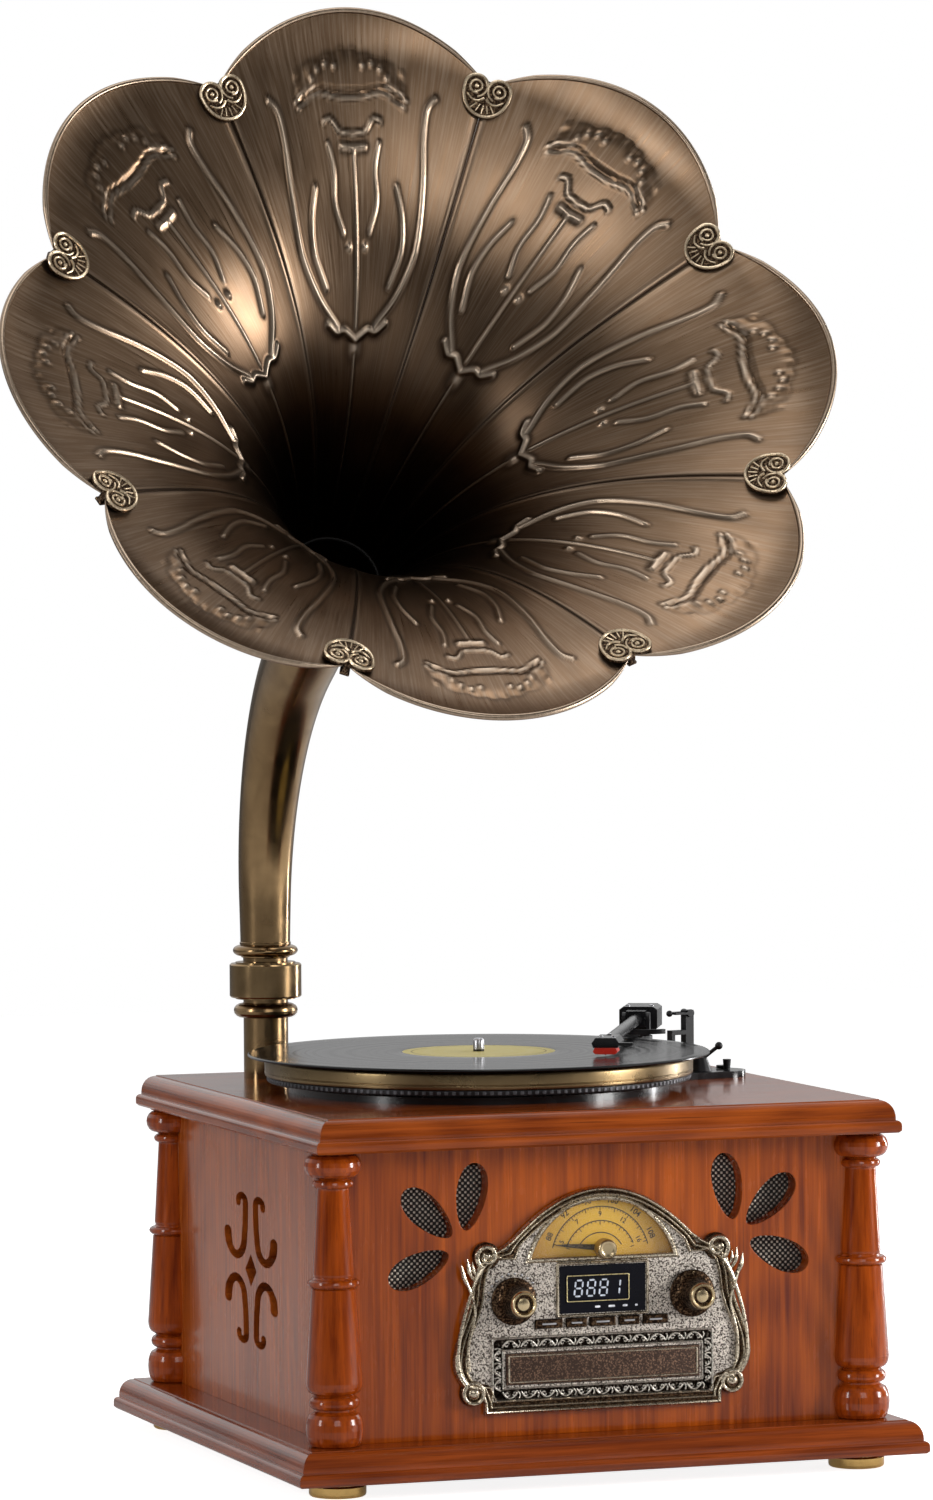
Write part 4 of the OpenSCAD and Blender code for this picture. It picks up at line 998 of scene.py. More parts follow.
@dataclass(frozen=True)
class CastMetal(Finish):
    """Cast metal whose pits keep a dark film."""

    base: Colour
    dark: Colour
    scale: float
    cover: float
    rough: float
    depth: float
    edge: float = 0.4
    metal: float = 1.0

    def dress(self, g: Graph, shader: Node) -> None:
        """Grit with dark pits and bright high places.

        Args:
            g: Its graph.
            shader: Its shader.
        """
        place = g.place()
        grit = g.effect(Grit, {"Vector": place, "Scale": self.scale, "Cover": self.cover}).outputs
        marks = g.effect(Smudges, {"Vector": place, "Scale": 60.0}).outputs[0]
        worn = g.effect(WornEdge, {"Radius": self.edge * METRE}).outputs
        high = g.math("MAXIMUM", grit["Mask"], g.times(worn["Mask"], 0.9))
        shade = g.blend(high, self.dark, self.base)
        shade = g.blend(g.times(marks, 0.25), shade, self.dark)
        rough = g.plus(g.times(g.minus(1.0, high), 0.25), self.rough)
        g.fill(shader, {
            "Base Color": shade, "Metallic": self.metal, "Roughness": rough,
            "Normal": g.bump(grit["Height"], self.depth, 0.8, worn["Normal"]),
        })


@dataclass(frozen=True)
class Moulded(Finish):
    """Moulded plastic, rubber, felt or paint with a fine skin."""

    base: Colour
    light: Colour
    rough: float
    scale: float = 1500.0
    depth: float = 0.05
    metal: float = 0.0
    coat: float = 0.0
    shine: float = 0.4
    edge: float = 0.35

    def dress(self, g: Graph, shader: Node) -> None:
        """Skin grain, handling marks and softer edges.

        Args:
            g: Its graph.
            shader: Its shader.
        """
        place = g.place()
        grit = g.effect(Grit, {"Vector": place, "Scale": self.scale, "Cover": 0.4}).outputs
        marks = g.effect(Smudges, {"Vector": place, "Scale": 55.0}).outputs[0]
        worn = g.effect(WornEdge, {"Radius": self.edge * METRE}).outputs
        share = g.plus(g.times(marks, 0.35), g.times(worn["Mask"], 0.5), True)
        share = g.plus(share, g.times(grit["Mask"], 0.12), True)
        rough = g.plus(g.times(marks, 0.12), self.rough)
        g.fill(shader, {
            "Base Color": g.blend(share, self.base, self.light), "Metallic": self.metal, "Roughness": rough,
            "Specular IOR Level": self.shine, "Coat Weight": self.coat, "Coat Roughness": 0.1,
            "Normal": g.bump(grit["Height"], self.depth, 0.6, worn["Normal"]),
        })


@dataclass(frozen=True)
class MeshWire(Finish):
    """Woven wire cloth before a dark space, with painted highlights on its crossings and painted shade in its gaps."""

    # The wire colour is pale for the painted highlights on the crossings; the gap colour is painted shade for the dark
    # space seen through the cloth, partly a black speaker.
    wire: Colour = colour(212, 202, 188)
    gap_black_and_shade: Colour = colour(10, 8, 7)
    pitch: float = 1.9

    def dress(self, g: Graph, shader: Node) -> None:
        """Crossings with a painted highlight over near-black gaps that paint the dark space behind, on sheets that
        stand along x or along y.

        Args:
            g: Its graph.
            shader: Its shader.
        """
        part = g.add("SeparateXYZ", {0: g.place()}).outputs
        across = g.plus(part[0], part[1])
        weave = g.effect(WireWeave, {"Across": across, "Up": part[2], "Pitch": self.pitch}).outputs
        drift = g.noise(g.place(), 30.0, 2.0)
        # painted highlight on every other crossing, painted shade in the gaps
        shade = g.blend(g.times(weave["Mask"], g.span(drift, 0.3, 0.7, 0.5, 1.0)), self.gap_black_and_shade, self.wire)
        g.fill(shader, {
            "Base Color": shade, "Metallic": g.span(weave["Mask"], 0.2, 0.8, 0.0, 0.9),
            "Roughness": g.span(weave["Mask"], 0.0, 1.0, 0.8, 0.35),
            "Normal": g.bump(weave["Height"], 0.5, 0.8),
        })


@dataclass(frozen=True)
class Vinyl(Finish):
    """Pressed disc: grooves round the spindle, plain bands between the tracks and a paper label."""

    centre: Flat = (77.0, 91.0)
    label: Colour = colour(226, 212, 140)
    fibre: Colour = colour(196, 178, 104)
    ink: Colour = colour(120, 96, 40)
    shade: Colour = colour(12, 12, 13)
    sheen: Colour = colour(34, 34, 36)
    label_r: float = 50.0
    ring_r: float = 44.0
    ring_w: float = 0.6

    def dress(self, g: Graph, shader: Node) -> None:
        """Grooves by their distance from the spindle, with quiet bands between tracks.

        Args:
            g: Its graph.
            shader: Its shader.
        """
        at = (self.centre[0] * METRE, self.centre[1] * METRE, 0)
        lines = g.effect(RoundLines, {"Vector": g.place(), "Centre": at, "Pitch": 0.9}).outputs
        bands = g.add(
            "TexNoise", {"W": g.times(lines["Radius"], 0.16), "Scale": 1.0, "Detail": 2.0}, noise_dimensions="1D"
        ).outputs[0]
        paper = g.math("LESS_THAN", lines["Radius"], self.label_r)
        fibres = g.noise(g.place(), 700.0, 3.0)
        printed = g.blend(g.span(fibres, 0.3, 0.7, 0.0, 0.3), self.label, self.fibre)
        ring = g.math("COMPARE", lines["Radius"], self.ring_r)
        ring.node.inputs[2].default_value = self.ring_w
        printed = g.blend(g.times(ring, 0.6), printed, self.ink)
        disc = g.blend(g.span(bands, 0.35, 0.65, 0.0, 0.5), self.shade, self.sheen)
        groove = g.times(lines["Rings"], g.minus(1.0, paper))
        g.fill(shader, {
            "Base Color": g.blend(paper, disc, printed),
            "Roughness": g.plus(g.span(bands, 0.35, 0.65, 0.12, 0.24), g.times(paper, 0.35)),
            "Normal": g.bump(groove, 0.02, 0.35), "Specular IOR Level": 0.22,
        })


@dataclass(frozen=True)
class DialPaper(Finish):
    """Yellow dial card, lighter in its middle."""

    light: Colour = colour(218, 170, 30)
    deep: Colour = colour(160, 110, 10)
    glow_z: float = 160.0
    glow: float = 0.08

    def dress(self, g: Graph, shader: Node) -> None:
        """A glow round the tuning shaft and a faint tooth.

        Args:
            g: Its graph.
            shader: Its shader.
        """
        place = g.place()
        middle = (Vector((0.0, FRONT_Y, self.glow_z)) + CABINET) * METRE
        off = g.offset(place, middle)
        far = g.add("VectorMath", {0: off}, operation="LENGTH").outputs["Value"]
        tooth = g.noise(place, 900.0, 3.0)
        share = g.plus(g.span(far, 0.008, 0.05), g.span(tooth, 0.3, 0.7, -0.08, 0.08), True)
        shade = g.blend(share, self.light, self.deep)
        g.fill(shader, {"Base Color": shade, "Roughness": 0.5, "Emission Color": shade, "Emission Strength": self.glow,
                             "Normal": g.bump(tooth, 0.02, 0.5)})


@dataclass(frozen=True)
class Lit(Finish):
    """Digits or marks that glow a little, with an uneven tone."""

    tone: Colour = colour(186, 192, 204)
    strength: float = 0.5
    drop: float = 0.6

    def dress(self, g: Graph, shader: Node) -> None:
        """A soft drift in the glow.

        Args:
            g: Its graph.
            shader: Its shader.
        """
        drift = g.noise(g.place(), 420.0, 2.0)
        dim = tuple(c * self.drop for c in self.tone[:3]) + (1.0,)
        shade = g.blend(g.span(drift, 0.3, 0.7), dim, self.tone)
        g.fill(shader, {
            "Base Color": shade, "Roughness": 0.4, "Emission Color": shade, "Emission Strength": self.strength
        })


@dataclass(frozen=True)
class ClearPane(Finish):
    """Clear pane with a faint haze at its edge."""

    tint: Colour = colour(250, 246, 228)

    def dress(self, g: Graph, shader: Node) -> None:
        """Mostly see-through; fine dust shows at the surface.

        Args:
            g: Its graph.
            shader: Its shader.
        """
        dust = g.noise(g.place(), 500.0, 3.0)
        g.fill(shader, {"Base Color": self.tint, "Roughness": g.span(dust, 0.3, 0.8, 0.03, 0.09),
                             "Alpha": g.span(dust, 0.3, 0.8, 0.03, 0.06), "IOR": 1.45})


@dataclass(frozen=True)
class StudioPaper(Finish):
    """Seamless paper of the studio: white to the eye, and it keeps the object's shadow."""

    tone: Colour = (0.82, 0.82, 0.82, 1.0)
    fleck: Colour = (0.78, 0.78, 0.78, 1.0)

    def dress(self, g: Graph, shader: Node) -> None:
        """Plain paper with a faint tooth.

        Args:
            g: Its graph.
            shader: Its shader.
        """
        tooth = g.noise(g.place(), 60.0, 3.0)
        shade = g.blend(g.span(tooth, 0.3, 0.7, 0.0, 0.02), self.tone, self.fleck)
        g.fill(shader, {"Base Color": shade, "Roughness": 0.9, "Specular IOR Level": 0.1})


PANEL_WOOD = Varnish("panel_wood")
SIDE_WOOD = Varnish("side_wood", light=colour(190, 96, 30), dark=colour(110, 42, 10), figure=0.4)
TOP_WOOD = Varnish(
    "top_board_wood", grain=Grain.ACROSS, mitre=(392.0, 394.0), light=colour(176, 84, 26), dark=colour(92, 32, 8),
    rough=0.14,
)
PLINTH_WOOD = Varnish(
    "plinth_wood", grain=Grain.ACROSS, mitre=(422.0, 410.0), light=colour(166, 76, 24), dark=colour(84, 28, 7),
    rough=0.14,
)
TURNED_WOOD = Varnish(
    "turned_wood", light=colour(184, 82, 14), dark=colour(100, 31, 5), figure=0.2, rough=0.12, edge=0.2
)
BACK_WOOD = Varnish("back_wood", light=colour(150, 84, 48), dark=colour(96, 44, 22), figure=0.3, rough=0.45)
HORN_BRONZE = HornBronze("horn_bronze")
PIPE_BRASS = BrushedMetal(
    "pipe_brass", base=colour(146, 120, 86), dark=colour(70, 48, 30), rough=0.16, film=0.45, lines=0.15
)
RING_BRASS = BrushedMetal(
    "ring_brass", base=colour(158, 132, 96), dark=colour(76, 54, 34), rough=0.15, film=0.4, lines=0.15,
    grain=Grain.ACROSS,
)
FOOT_BRASS = BrushedMetal(
    "foot_brass", base=colour(238, 200, 126), dark=colour(130, 90, 40), rough=0.1, film=0.5, grain=Grain.ACROSS
)
RIM_BRASS = BrushedMetal(
    "platter_brass", base=colour(136, 116, 84), dark=colour(70, 54, 36), rough=0.26, film=0.4, lines=0.15,
    grain=Grain.ACROSS,
)
CLIP_BRONZE = CastMetal(
    "clip_bronze", base=colour(226, 206, 176), dark=colour(110, 88, 64), scale=1100.0, cover=0.1, rough=0.3, depth=0.05
)
CLIP_GROUND = CastMetal(
    "clip_ground", base=colour(120, 98, 76), dark=colour(44, 32, 24), scale=900.0, cover=0.38, rough=0.42, depth=0.1
)
PEWTER = CastMetal(
    "pewter", base=colour(224, 214, 202), dark=colour(62, 50, 42), scale=950.0, cover=0.26, rough=0.38, depth=0.35,
    edge=0.05, metal=0.4,
)
SCROLL_SILVER = CastMetal(
    "scroll_silver", base=colour(228, 222, 212), dark=colour(120, 110, 100), scale=900.0, cover=0.2, rough=0.28,
    depth=0.06,
)
SCROLL_BED = CastMetal(
    "scroll_bed", base=colour(120, 110, 100), dark=colour(22, 16, 12), scale=620.0, cover=0.44, rough=0.45, depth=0.2
)
RAIL_BRONZE = CastMetal(
    "rail_bronze", base=colour(208, 196, 174), dark=colour(76, 62, 48), scale=900.0, cover=0.16, rough=0.26, depth=0.05
)
DARK_BRONZE = CastMetal(
    "dark_bronze", base=colour(104, 82, 62), dark=colour(32, 22, 16), scale=800.0, cover=0.34, rough=0.32, depth=0.08
)
TRAY_BRONZE = CastMetal(
    "tray_bronze", base=colour(128, 98, 78), dark=colour(62, 44, 34), scale=900.0, cover=0.4, rough=0.42, depth=0.2,
    edge=0.05, metal=0.5,
)
FRAME_GOLD = CastMetal(
    "frame_gold", base=colour(238, 222, 168), dark=colour(150, 124, 70), scale=1100.0, cover=0.1, rough=0.3, depth=0.03
)
KNOB_BRASS = BrushedMetal("knob_brass", base=colour(210, 190, 152), dark=colour(104, 82, 56), rough=0.2, film=0.35)
STEEL = BrushedMetal("steel", base=colour(196, 196, 200), dark=colour(120, 120, 124), rough=0.24, film=0.3)
GLOSS_BLACK = Moulded(
    "gloss_black", base=colour(12, 12, 14), light=colour(36, 36, 40), rough=0.2, scale=2400.0, depth=0.01, coat=0.3
)
SATIN_BLACK = Moulded("satin_black", base=colour(15, 15, 17), light=colour(46, 47, 52), rough=0.32, shine=0.3)
SPEAKER_BLACK = Moulded("speaker_black", base=colour(16, 15, 15), light=colour(36, 34, 33), rough=0.6)
RUBBER = Moulded("belt_rubber", base=colour(20, 20, 20), light=colour(44, 43, 42), rough=0.7)
FELT = Moulded("mat_felt", base=colour(30, 28, 26), light=colour(58, 54, 50), rough=0.9, scale=2600.0, depth=0.2)
RED = Moulded("stylus_red", base=colour(208, 34, 22), light=colour(240, 96, 66), rough=0.3, coat=0.3)
BOARD_GREEN = Moulded("board_green", base=colour(26, 84, 48), light=colour(60, 124, 76), rough=0.4, scale=700.0)
CORE_STEEL = Moulded("core_steel", base=colour(72, 72, 76), light=colour(128, 128, 132), rough=0.42, metal=0.8)
CASE_STEEL = Moulded("case_steel", base=colour(112, 112, 116), light=colour(160, 160, 164), rough=0.38, metal=0.8)
SCREEN = Moulded("screen_black", base=colour(6, 6, 14), light=colour(16, 16, 30), rough=0.1, depth=0.002, shine=0.12)
INK = Moulded("dial_ink", base=colour(40, 24, 6), light=colour(70, 46, 14), rough=0.7)
WOVEN_MESH = MeshWire("woven_mesh")
DIAL_PAPER = DialPaper("dial_paper")
DIGITS = Lit("lit_digits")
MARKS = Lit("lit_marks", tone=colour(226, 228, 236), strength=0.35)
PANE = ClearPane("clear_pane")


def paint(finish: Finish, *nodes: str) -> None:
    """Gives carried-over nodes a finish in every slot.

    Args:
        finish: The finish.
        nodes: Names of the nodes.
    """
    for name in nodes:
        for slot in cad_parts[name].material_slots:
            slot.material = finish.material()
        LOG.info("%s: %s", name, finish.name)


@dataclass(frozen=True)
class SoftBox:
    """A lamp that looks at the object, in metres and watts."""

    name: str
    spot: Spot
    size: Flat
    power: float
    tone: Spot = (1.0, 1.0, 1.0)


@dataclass
class Studio:
    """Camera, lamps and paper round the object."""

    at: Spot = (-1440.74, -4024.93, 593.35)
    azimuth: float = -19.35
    elevation: float = 1.82
    roll: float = 0.38
    lens: float = 252.19
    sensor: float = 36.0
    floor_half: float = 4.0
    floor_t: float = 0.001
    floor_drop: float = 0.0012
    floor_white: float = 0.88
    floor_mirror: float = 0.15
    fill: float = 0.12
    aim: Spot = (0.06, 0.0, 0.42)
    boxes: tuple[SoftBox, ...] = (
        SoftBox("key_box", (2.34, -1.21, 0.74), (0.6, 0.85), 50.0, (1.0, 0.99, 0.98)),
        SoftBox("front_box", (-0.36, -2.98, 1.51), (1.3, 0.8), 12.0),
        SoftBox("sheen_box", (-1.08, -2.31, 2.29), (0.8, 0.6), 9.0),
        SoftBox("left_box", (-2.7, -0.5, 1.1), (0.4, 1.4), 24.0),
        SoftBox("side_strip", (2.1, 0.75, 0.75), (0.14, 1.6), 24.0),
        SoftBox("top_box", (0.2, -0.2, 3.0), (1.6, 1.2), 14.0),
    )

    def camera(self) -> None:
        """Sets up the camera that the photograph was taken with, as fitted."""
        a, e, w = (math.radians(v) for v in (self.azimuth, self.elevation, self.roll))
        back = Vector((math.sin(a) * math.cos(e), -math.cos(a) * math.cos(e), math.sin(e)))
        level = (-back).cross(Vector((0, 0, 1))).normalized()
        down = (-back).cross(level)
        right = math.cos(w) * level + math.sin(w) * down
        low = -math.sin(w) * level + math.cos(w) * down
        data = bpy.data.cameras.new("camera")
        data.lens, data.sensor_width, data.sensor_fit = self.lens, self.sensor, "HORIZONTAL"
        data.clip_end = 50.0
        made = put("camera", data)
        spot = (Vector(self.at) + CABINET) * METRE
        made.matrix_world = Matrix((
            (right.x, -low.x, back.x, spot.x), (right.y, -low.y, back.y, spot.y),
            (right.z, -low.z, back.z, spot.z), (0, 0, 0, 1),
        ))
        bpy.context.scene.camera = made

    def lamp(self, box: SoftBox) -> None:
        """Adds a soft box.

        Args:
            box: Its name, place, size, power and colour.
        """
        data = bpy.data.lights.new(box.name, "AREA")
        data.shape = "RECTANGLE"
        data.size, data.size_y = box.size
        data.energy, data.color = box.power, box.tone
        made = put(box.name, data)
        made.location = box.spot
        ahead = Vector(self.aim) - Vector(box.spot)
        made.rotation_euler = ahead.to_track_quat("-Z", "Y").to_euler()

    def sky(self) -> None:
        """World that is white to the eye, and greyer on the viewer's side for what metal mirrors."""
        world = bpy.data.worlds.new("studio")
        bpy.context.scene.world = world
        world.use_nodes = True
        world.node_tree.nodes.clear()
        g = Graph(world.node_tree)
        ray = g.add("LightPath").outputs
        part = g.add("SeparateXYZ", {0: g.add("TexCoord").outputs["Generated"]}).outputs
        behind = g.plus(part[1], g.times(part[2], 0.25))
        beside = g.times(g.math("MAXIMUM", part[0], 0.0), 0.25)
        mirror = g.span(g.minus(behind, beside), -0.28, 0.8, 0.12, 1.0)
        glass = g.math("MAXIMUM", ray["Is Glossy Ray"], ray["Is Transmission Ray"])
        mirror = g.times(mirror, g.span(part[2], 0.0, 0.25, 0.15, 1.0))
        level = g.add("Mix", {0: glass, 2: self.fill, 3: mirror}, data_type="FLOAT").outputs[0]
        level = g.math("MAXIMUM", level, ray["Is Camera Ray"])
        back = g.add("Background", {"Color": (1, 1, 1, 1), "Strength": level})
        g.add("OutputWorld", {"Surface": back.outputs[0]})

    def paper(self) -> None:
        """Floor that shows white with the object's soft shadow."""
        raw = cut_plate(oblong(2 * self.floor_half, 2 * self.floor_half), (), self.floor_t)
        mesh = bpy.data.meshes.new("floor_paper")
        mesh.from_pydata([(x, y, z - self.floor_drop) for x, y, z in raw[0]], [], raw[1])
        made = put("floor_paper", mesh)
        material = StudioPaper("studio_paper").material()
        g = Graph(material.node_tree)
        nodes = {n.bl_idname: n for n in material.node_tree.nodes}
        ray = g.add("LightPath").outputs
        mirrored = g.math("MAXIMUM", ray["Is Glossy Ray"], ray["Is Transmission Ray"])
        seen = g.times(ray["Is Camera Ray"], self.floor_white)
        level = g.math("MAXIMUM", seen, g.times(mirrored, self.floor_mirror))
        white = g.add("Emission", {"Color": (1, 1, 1, 1), "Strength": level})
        both = g.add("AddShader", {0: nodes["ShaderNodeBsdfPrincipled"].outputs[0], 1: white.outputs[0]})
        material.node_tree.links.new(both.outputs[0], nodes["ShaderNodeOutputMaterial"].inputs["Surface"])
        mesh.materials.append(material)

    def build(self) -> None:
        """Camera, lamps, world and paper."""
        self.camera()
        self.sky()
        self.paper()
        for box in self.boxes:
            self.lamp(box)
        LOG.info("studio: camera, %d lamps, paper", len(self.boxes))


@dataclass
class Cabinet:
    """Boards, panels, columns, feet and what the box holds."""

    def build(self) -> None:
        """Finishes for every carried-over solid of the cabinet."""
        paint(PANEL_WOOD, "front_panel")
        paint(SIDE_WOOD, "left_panel", "right_panel")
        paint(BACK_WOOD, "back_panel")
        paint(TOP_WOOD, "top_board")
        paint(PLINTH_WOOD, "plinth_board")
        paint(TURNED_WOOD, "columns")
        paint(FOOT_BRASS, "feet")
        paint(WOVEN_MESH, "grilles")
        paint(SPEAKER_BLACK, "speakers", "horn_driver")
        paint(BOARD_GREEN, "circuit_board")
        paint(CORE_STEEL, "mains_transformer")
        paint(SATIN_BLACK, "rear_sockets")
        paint(CASE_STEEL, "disc_drive")


@dataclass
class Horn:
    """Bell of eight stamped petals, its clips, the elbow and the pipe."""

    pipe: Flat = (-123.0, 136.0)
    pipe_r: float = 14.9
    heading: float = -2.0
    bend_r: float = 190.0
    bend: float = 56.0
    neck_l: float = 106.0
    elbow_z: float = 325.5
    elbow_low: float = 301.85
    spigot_z: float = 270.0
    spigot_r: float = 12.7
    bore_r: float = 12.0
    throat_r: float = 30.0
    mouth_r: float = 232.0
    bell_l: float = 231.0
    flare: float = 1.12
    bulge: float = 0.03
    border: float = 14.0
    tip_reach: float = 25.0
    petals: int = 8
    petal_turn: float = 24.0
    sheet_t: float = 0.9
    bead_r: float = 2.0
    lip: float = 2.4
    stroke_w: float = 0.78
    clip_in: float = 6.0
    clip_back: float = 2.4
    clip_tilt: float = -23.0
    clip_lift: float = 1.2
    columns: int = 90
    rows: int = 230

    @property
    def pitch(self) -> float:
        """Angle between two petals in degrees."""
        return 360 / self.petals

    @property
    def bend_l(self) -> float:
        """Length of the elbow's bend along its centre line."""
        return math.radians(self.bend) * self.bend_r

    @property
    def on_pipe(self) -> Matrix:
        """Frame with the pipe's axis as z."""
        return shift(*self.pipe) @ turn(self.heading, "Z")

    def path_at(self, s: float) -> Spot:
        """Centre line of the elbow.

        Args:
            s: Distance along it from the start of the bend.

        Returns:
            Forward reach, height and slope in degrees.
        """
        start = self.elbow_z + 30
        if s < 0:
            return 0.0, start + s, 0.0
        a = min(s / self.bend_l, 1.0) * math.radians(self.bend)
        past = max(s - self.bend_l, 0.0)
        reach = self.bend_r * (1 - math.cos(a)) + past * math.sin(a)
        return reach, start + self.bend_r * math.sin(a) + past * math.cos(a), math.degrees(a)

    @property
    def on_bell(self) -> Matrix:
        """Frame with the bell's axis as z, from its throat."""
        reach, height, _ = self.path_at(self.bend_l + self.neck_l)
        return self.on_pipe @ shift(0, -reach, height) @ turn(self.bend, "X")

    def elbow_radius(self, s: float) -> float:
        """Outside radius of the elbow.

        Args:
            s: Distance along its centre line from the start of the bend.

        Returns:
            The radius.
        """
        start = self.pipe_r + 1.7
        length = 29 + self.bend_l + self.neck_l
        share = min(max((s + 30) / length, 0.0), 1.0)
        return start * ((self.throat_r + 0.2) / start) ** (share**1.15)

    def elbow(self) -> None:
        """Smooth elbow with its bead, its spigot, the ring round the throat and a near-black ring of painted shade
        inside it.
        """
        stops = np.linspace(-33, self.bend_l + self.neck_l - 1, 90)
        sides = 72
        points, faces = [], []
        for inset, order in ((0.0, stops), (1.2, stops[::-1])):
            for s in order:
                reach, height, slope = self.path_at(float(s))
                r = self.elbow_radius(float(s)) - inset
                c, d = math.cos(math.radians(slope)), math.sin(math.radians(slope))
                for i in range(sides):
                    a = 2 * math.pi * i / sides
                    points.append((r * math.cos(a), -reach + r * math.sin(a) * c, height + r * math.sin(a) * d))
        loops = 2 * len(stops)
        for k in range(loops):
            for i in range(sides):
                j = (i + 1) % sides
                base, after = k * sides, ((k + 1) % loops) * sides
                faces.append((base + i, base + j, after + j, after + i))
        low, top, r = self.elbow_low, self.elbow_z, self.pipe_r
        start = (self.bore_r, self.spigot_z)
        foot = [start, (self.spigot_r, self.spigot_z - 0.5), (self.spigot_r, low)]
        foot += [(r, low), (r, top - 8.6), (r + 1.2, top - 8.2)]
        turns = [math.radians(a) for a in range(0, 181, 15)]
        bead = [(r + 1.4 + 5.4 * math.sin(a), top - 3.65 - 3.65 * math.cos(a)) for a in turns]
        collar = [(r + 2.2, top + 0.5), (r + 2.2, top + 1.8), (r + 0.6, top + 2.6), (r - 1.0, top + 2.6)]
        collar += [(self.bore_r, low + 4), start]
        throat = [
            (29.2, -8.6), (32.6, -8.4), (34.4, -7.2), (35.0, -5.2), (35.0, 3.0), (34.6, 4.4), (33.4, 5.0), (32.6, 4.8),
            (32.4, -0.4), (29.5, -0.5), (29.2, -8.6),
        ]
        # near-black ring just inside the throat: painted shade where the throat looks dark
        throat_shade_ring = [(28.7, -1.5), (29.9, -1.5), (29.9, 0.3), (28.7, 0.3), (28.7, -1.5)]
        shape = Shape().add((points, faces), self.on_pipe).add(lathe(foot + bead + collar), self.on_pipe)
        shape.add(lathe(throat), self.on_bell).add(lathe(throat_shade_ring), self.on_bell, 1)
        seat(shape.piece("elbow_brass", [PIPE_BRASS, SPEAKER_BLACK]), "horn", "horn_brass", "elbow_pipe")

    def stamping(self, x: Grid, r: Grid) -> tuple[Grid, Grid, Grid]:
        """The floral relief of one petal.

        Args:
            x: Distance of each point from the petal's middle line.
            r: Distance of each point from the bell's axis.

        Returns:
            Height, a mask of the ridges' tops for a painted highlight, and a mask of the hollows beside them for
            patina.
        """
        ax = np.abs(x)
        r = r - 12 * np.clip((r - 134) / 53, 0, 1)
        height, top, hollow = np.zeros_like(x), np.zeros_like(x), np.zeros_like(x)
        strokes = [
            ([(0, 173), (0, 150), (0, 120), (0, 96)], 1.1, 1.2),
            ([(0, 90), (0, 60), (0, 32)], 0.9, 0.8),
            ([(56, 207), (50, 200), (46.5, 184), (44, 160), (38, 134), (26, 112), (12, 97)], 1.6, 1.5),
            ([(27, 159), (30, 146), (28.5, 132), (20.5, 115)], 1.5, 1.3),
            ([(17, 178), (13.6, 166), (13.8, 152), (8.6, 140)], 1.3, 1.1),
            ([(19, 190), (16, 192), (12.5, 190), (8.5, 184.5), (0, 182.6)], 1.3, 1.3),
            ([(0, 175), (7.5, 175.8)], 1.9, 1.7),
            ([(19, 99), (13, 95), (8, 95.5), (4, 93.5), (0, 91)], 1.9, 1.9),
            ([(0, 91), (0, 87)], 3.0, 1.0),
            ([(35, 199), (28, 204), (20, 206.6), (10, 204.4), (0, 203.6)], 1.4, 1.0),
            ([(37, 203), (31, 209), (24, 211)], 1.2, 0.9),
        ]
        for line, width, rise in strokes:
            d = self.distance(ax, r, smooth_line(line, 5))
            width *= self.stroke_w
            stroke = np.exp(-((d / width) ** 2))
            height = np.maximum(height, rise * stroke)
            top = np.maximum(top, stroke)
            hollow = np.maximum(hollow, np.exp(-(((d - 2.0 * width) / width) ** 2)) * 0.7)
        crease = self.distance(ax, r, smooth_line([(33, 202), (27, 206.5), (20, 209), (10, 207.2), (0, 206.6)], 5))
        cut = np.exp(-((crease / 1.3) ** 2))
        cloud = self.distance(
            ax, r,
            smooth_line(
                [
                    (38, 206), (37, 213), (32, 217), (31, 223), (25, 227), (19, 227.5), (14, 231), (8, 231), (4, 234),
                    (0, 232),
                ],
                5,
            ),
        )
        inside = (r > 206) & (r < 232 - 0.0085 * ax**2) & (ax < 37)
        swell = np.where(inside, 1.0, 0.0) * (1 - np.exp(-((cloud / 4.0) ** 2)))
        for seed in ((25, 215.5), (21, 221), (15.5, 224), (9.5, 222.5)):
            d = np.hypot(ax - seed[0], r - seed[1])
            dot = np.exp(-((d / 1.5) ** 2))
            height, top = np.maximum(height, 1.5 * dot + 1.0 * swell * (dot > 0.05)), np.maximum(top, dot)
            hollow = np.maximum(hollow, np.exp(-(((d - 3.0) / 1.2) ** 2)) * 0.5)
        pair = np.exp(-((np.hypot(ax - 5.2, r - 134) / 1.6) ** 2))
        height, top = np.maximum(height, 1.7 * pair), np.maximum(top, pair)
        height = np.maximum(height, 1.1 * swell) - 1.8 * cut
        hollow = np.maximum(hollow, np.maximum(cut, 0.45 * np.exp(-((cloud / 1.8) ** 2)) * (r > 204)))
        return height, top * (1 - cut), np.clip(hollow - top, 0, 1)

    @staticmethod
    def distance(x: Grid, y: Grid, line: Grid) -> Grid:
        """Distance of points from a line of short stretches.

        Args:
            x: First coordinate of each point.
            y: Second coordinate of each point.
            line: Points of the line.

        Returns:
            The distance of each point.
        """
        best = np.full(x.shape, 1e9)
        for a, b in zip(line, line[1:]):
            d = b - a
            t = np.clip(((x - a[0]) * d[0] + (y - a[1]) * d[1]) / (d @ d), 0, 1)
            best = np.minimum(best, np.hypot(x - a[0] - t * d[0], y - a[1] - t * d[1]))
        return best

    @staticmethod
    def scallop(v: Grid) -> Grid:
        """How far a petal's tip has come out, from 0 at its seams to 1 in its middle."""
        return np.maximum(np.cos(np.pi / 2 * v), 0.0025) ** 0.88

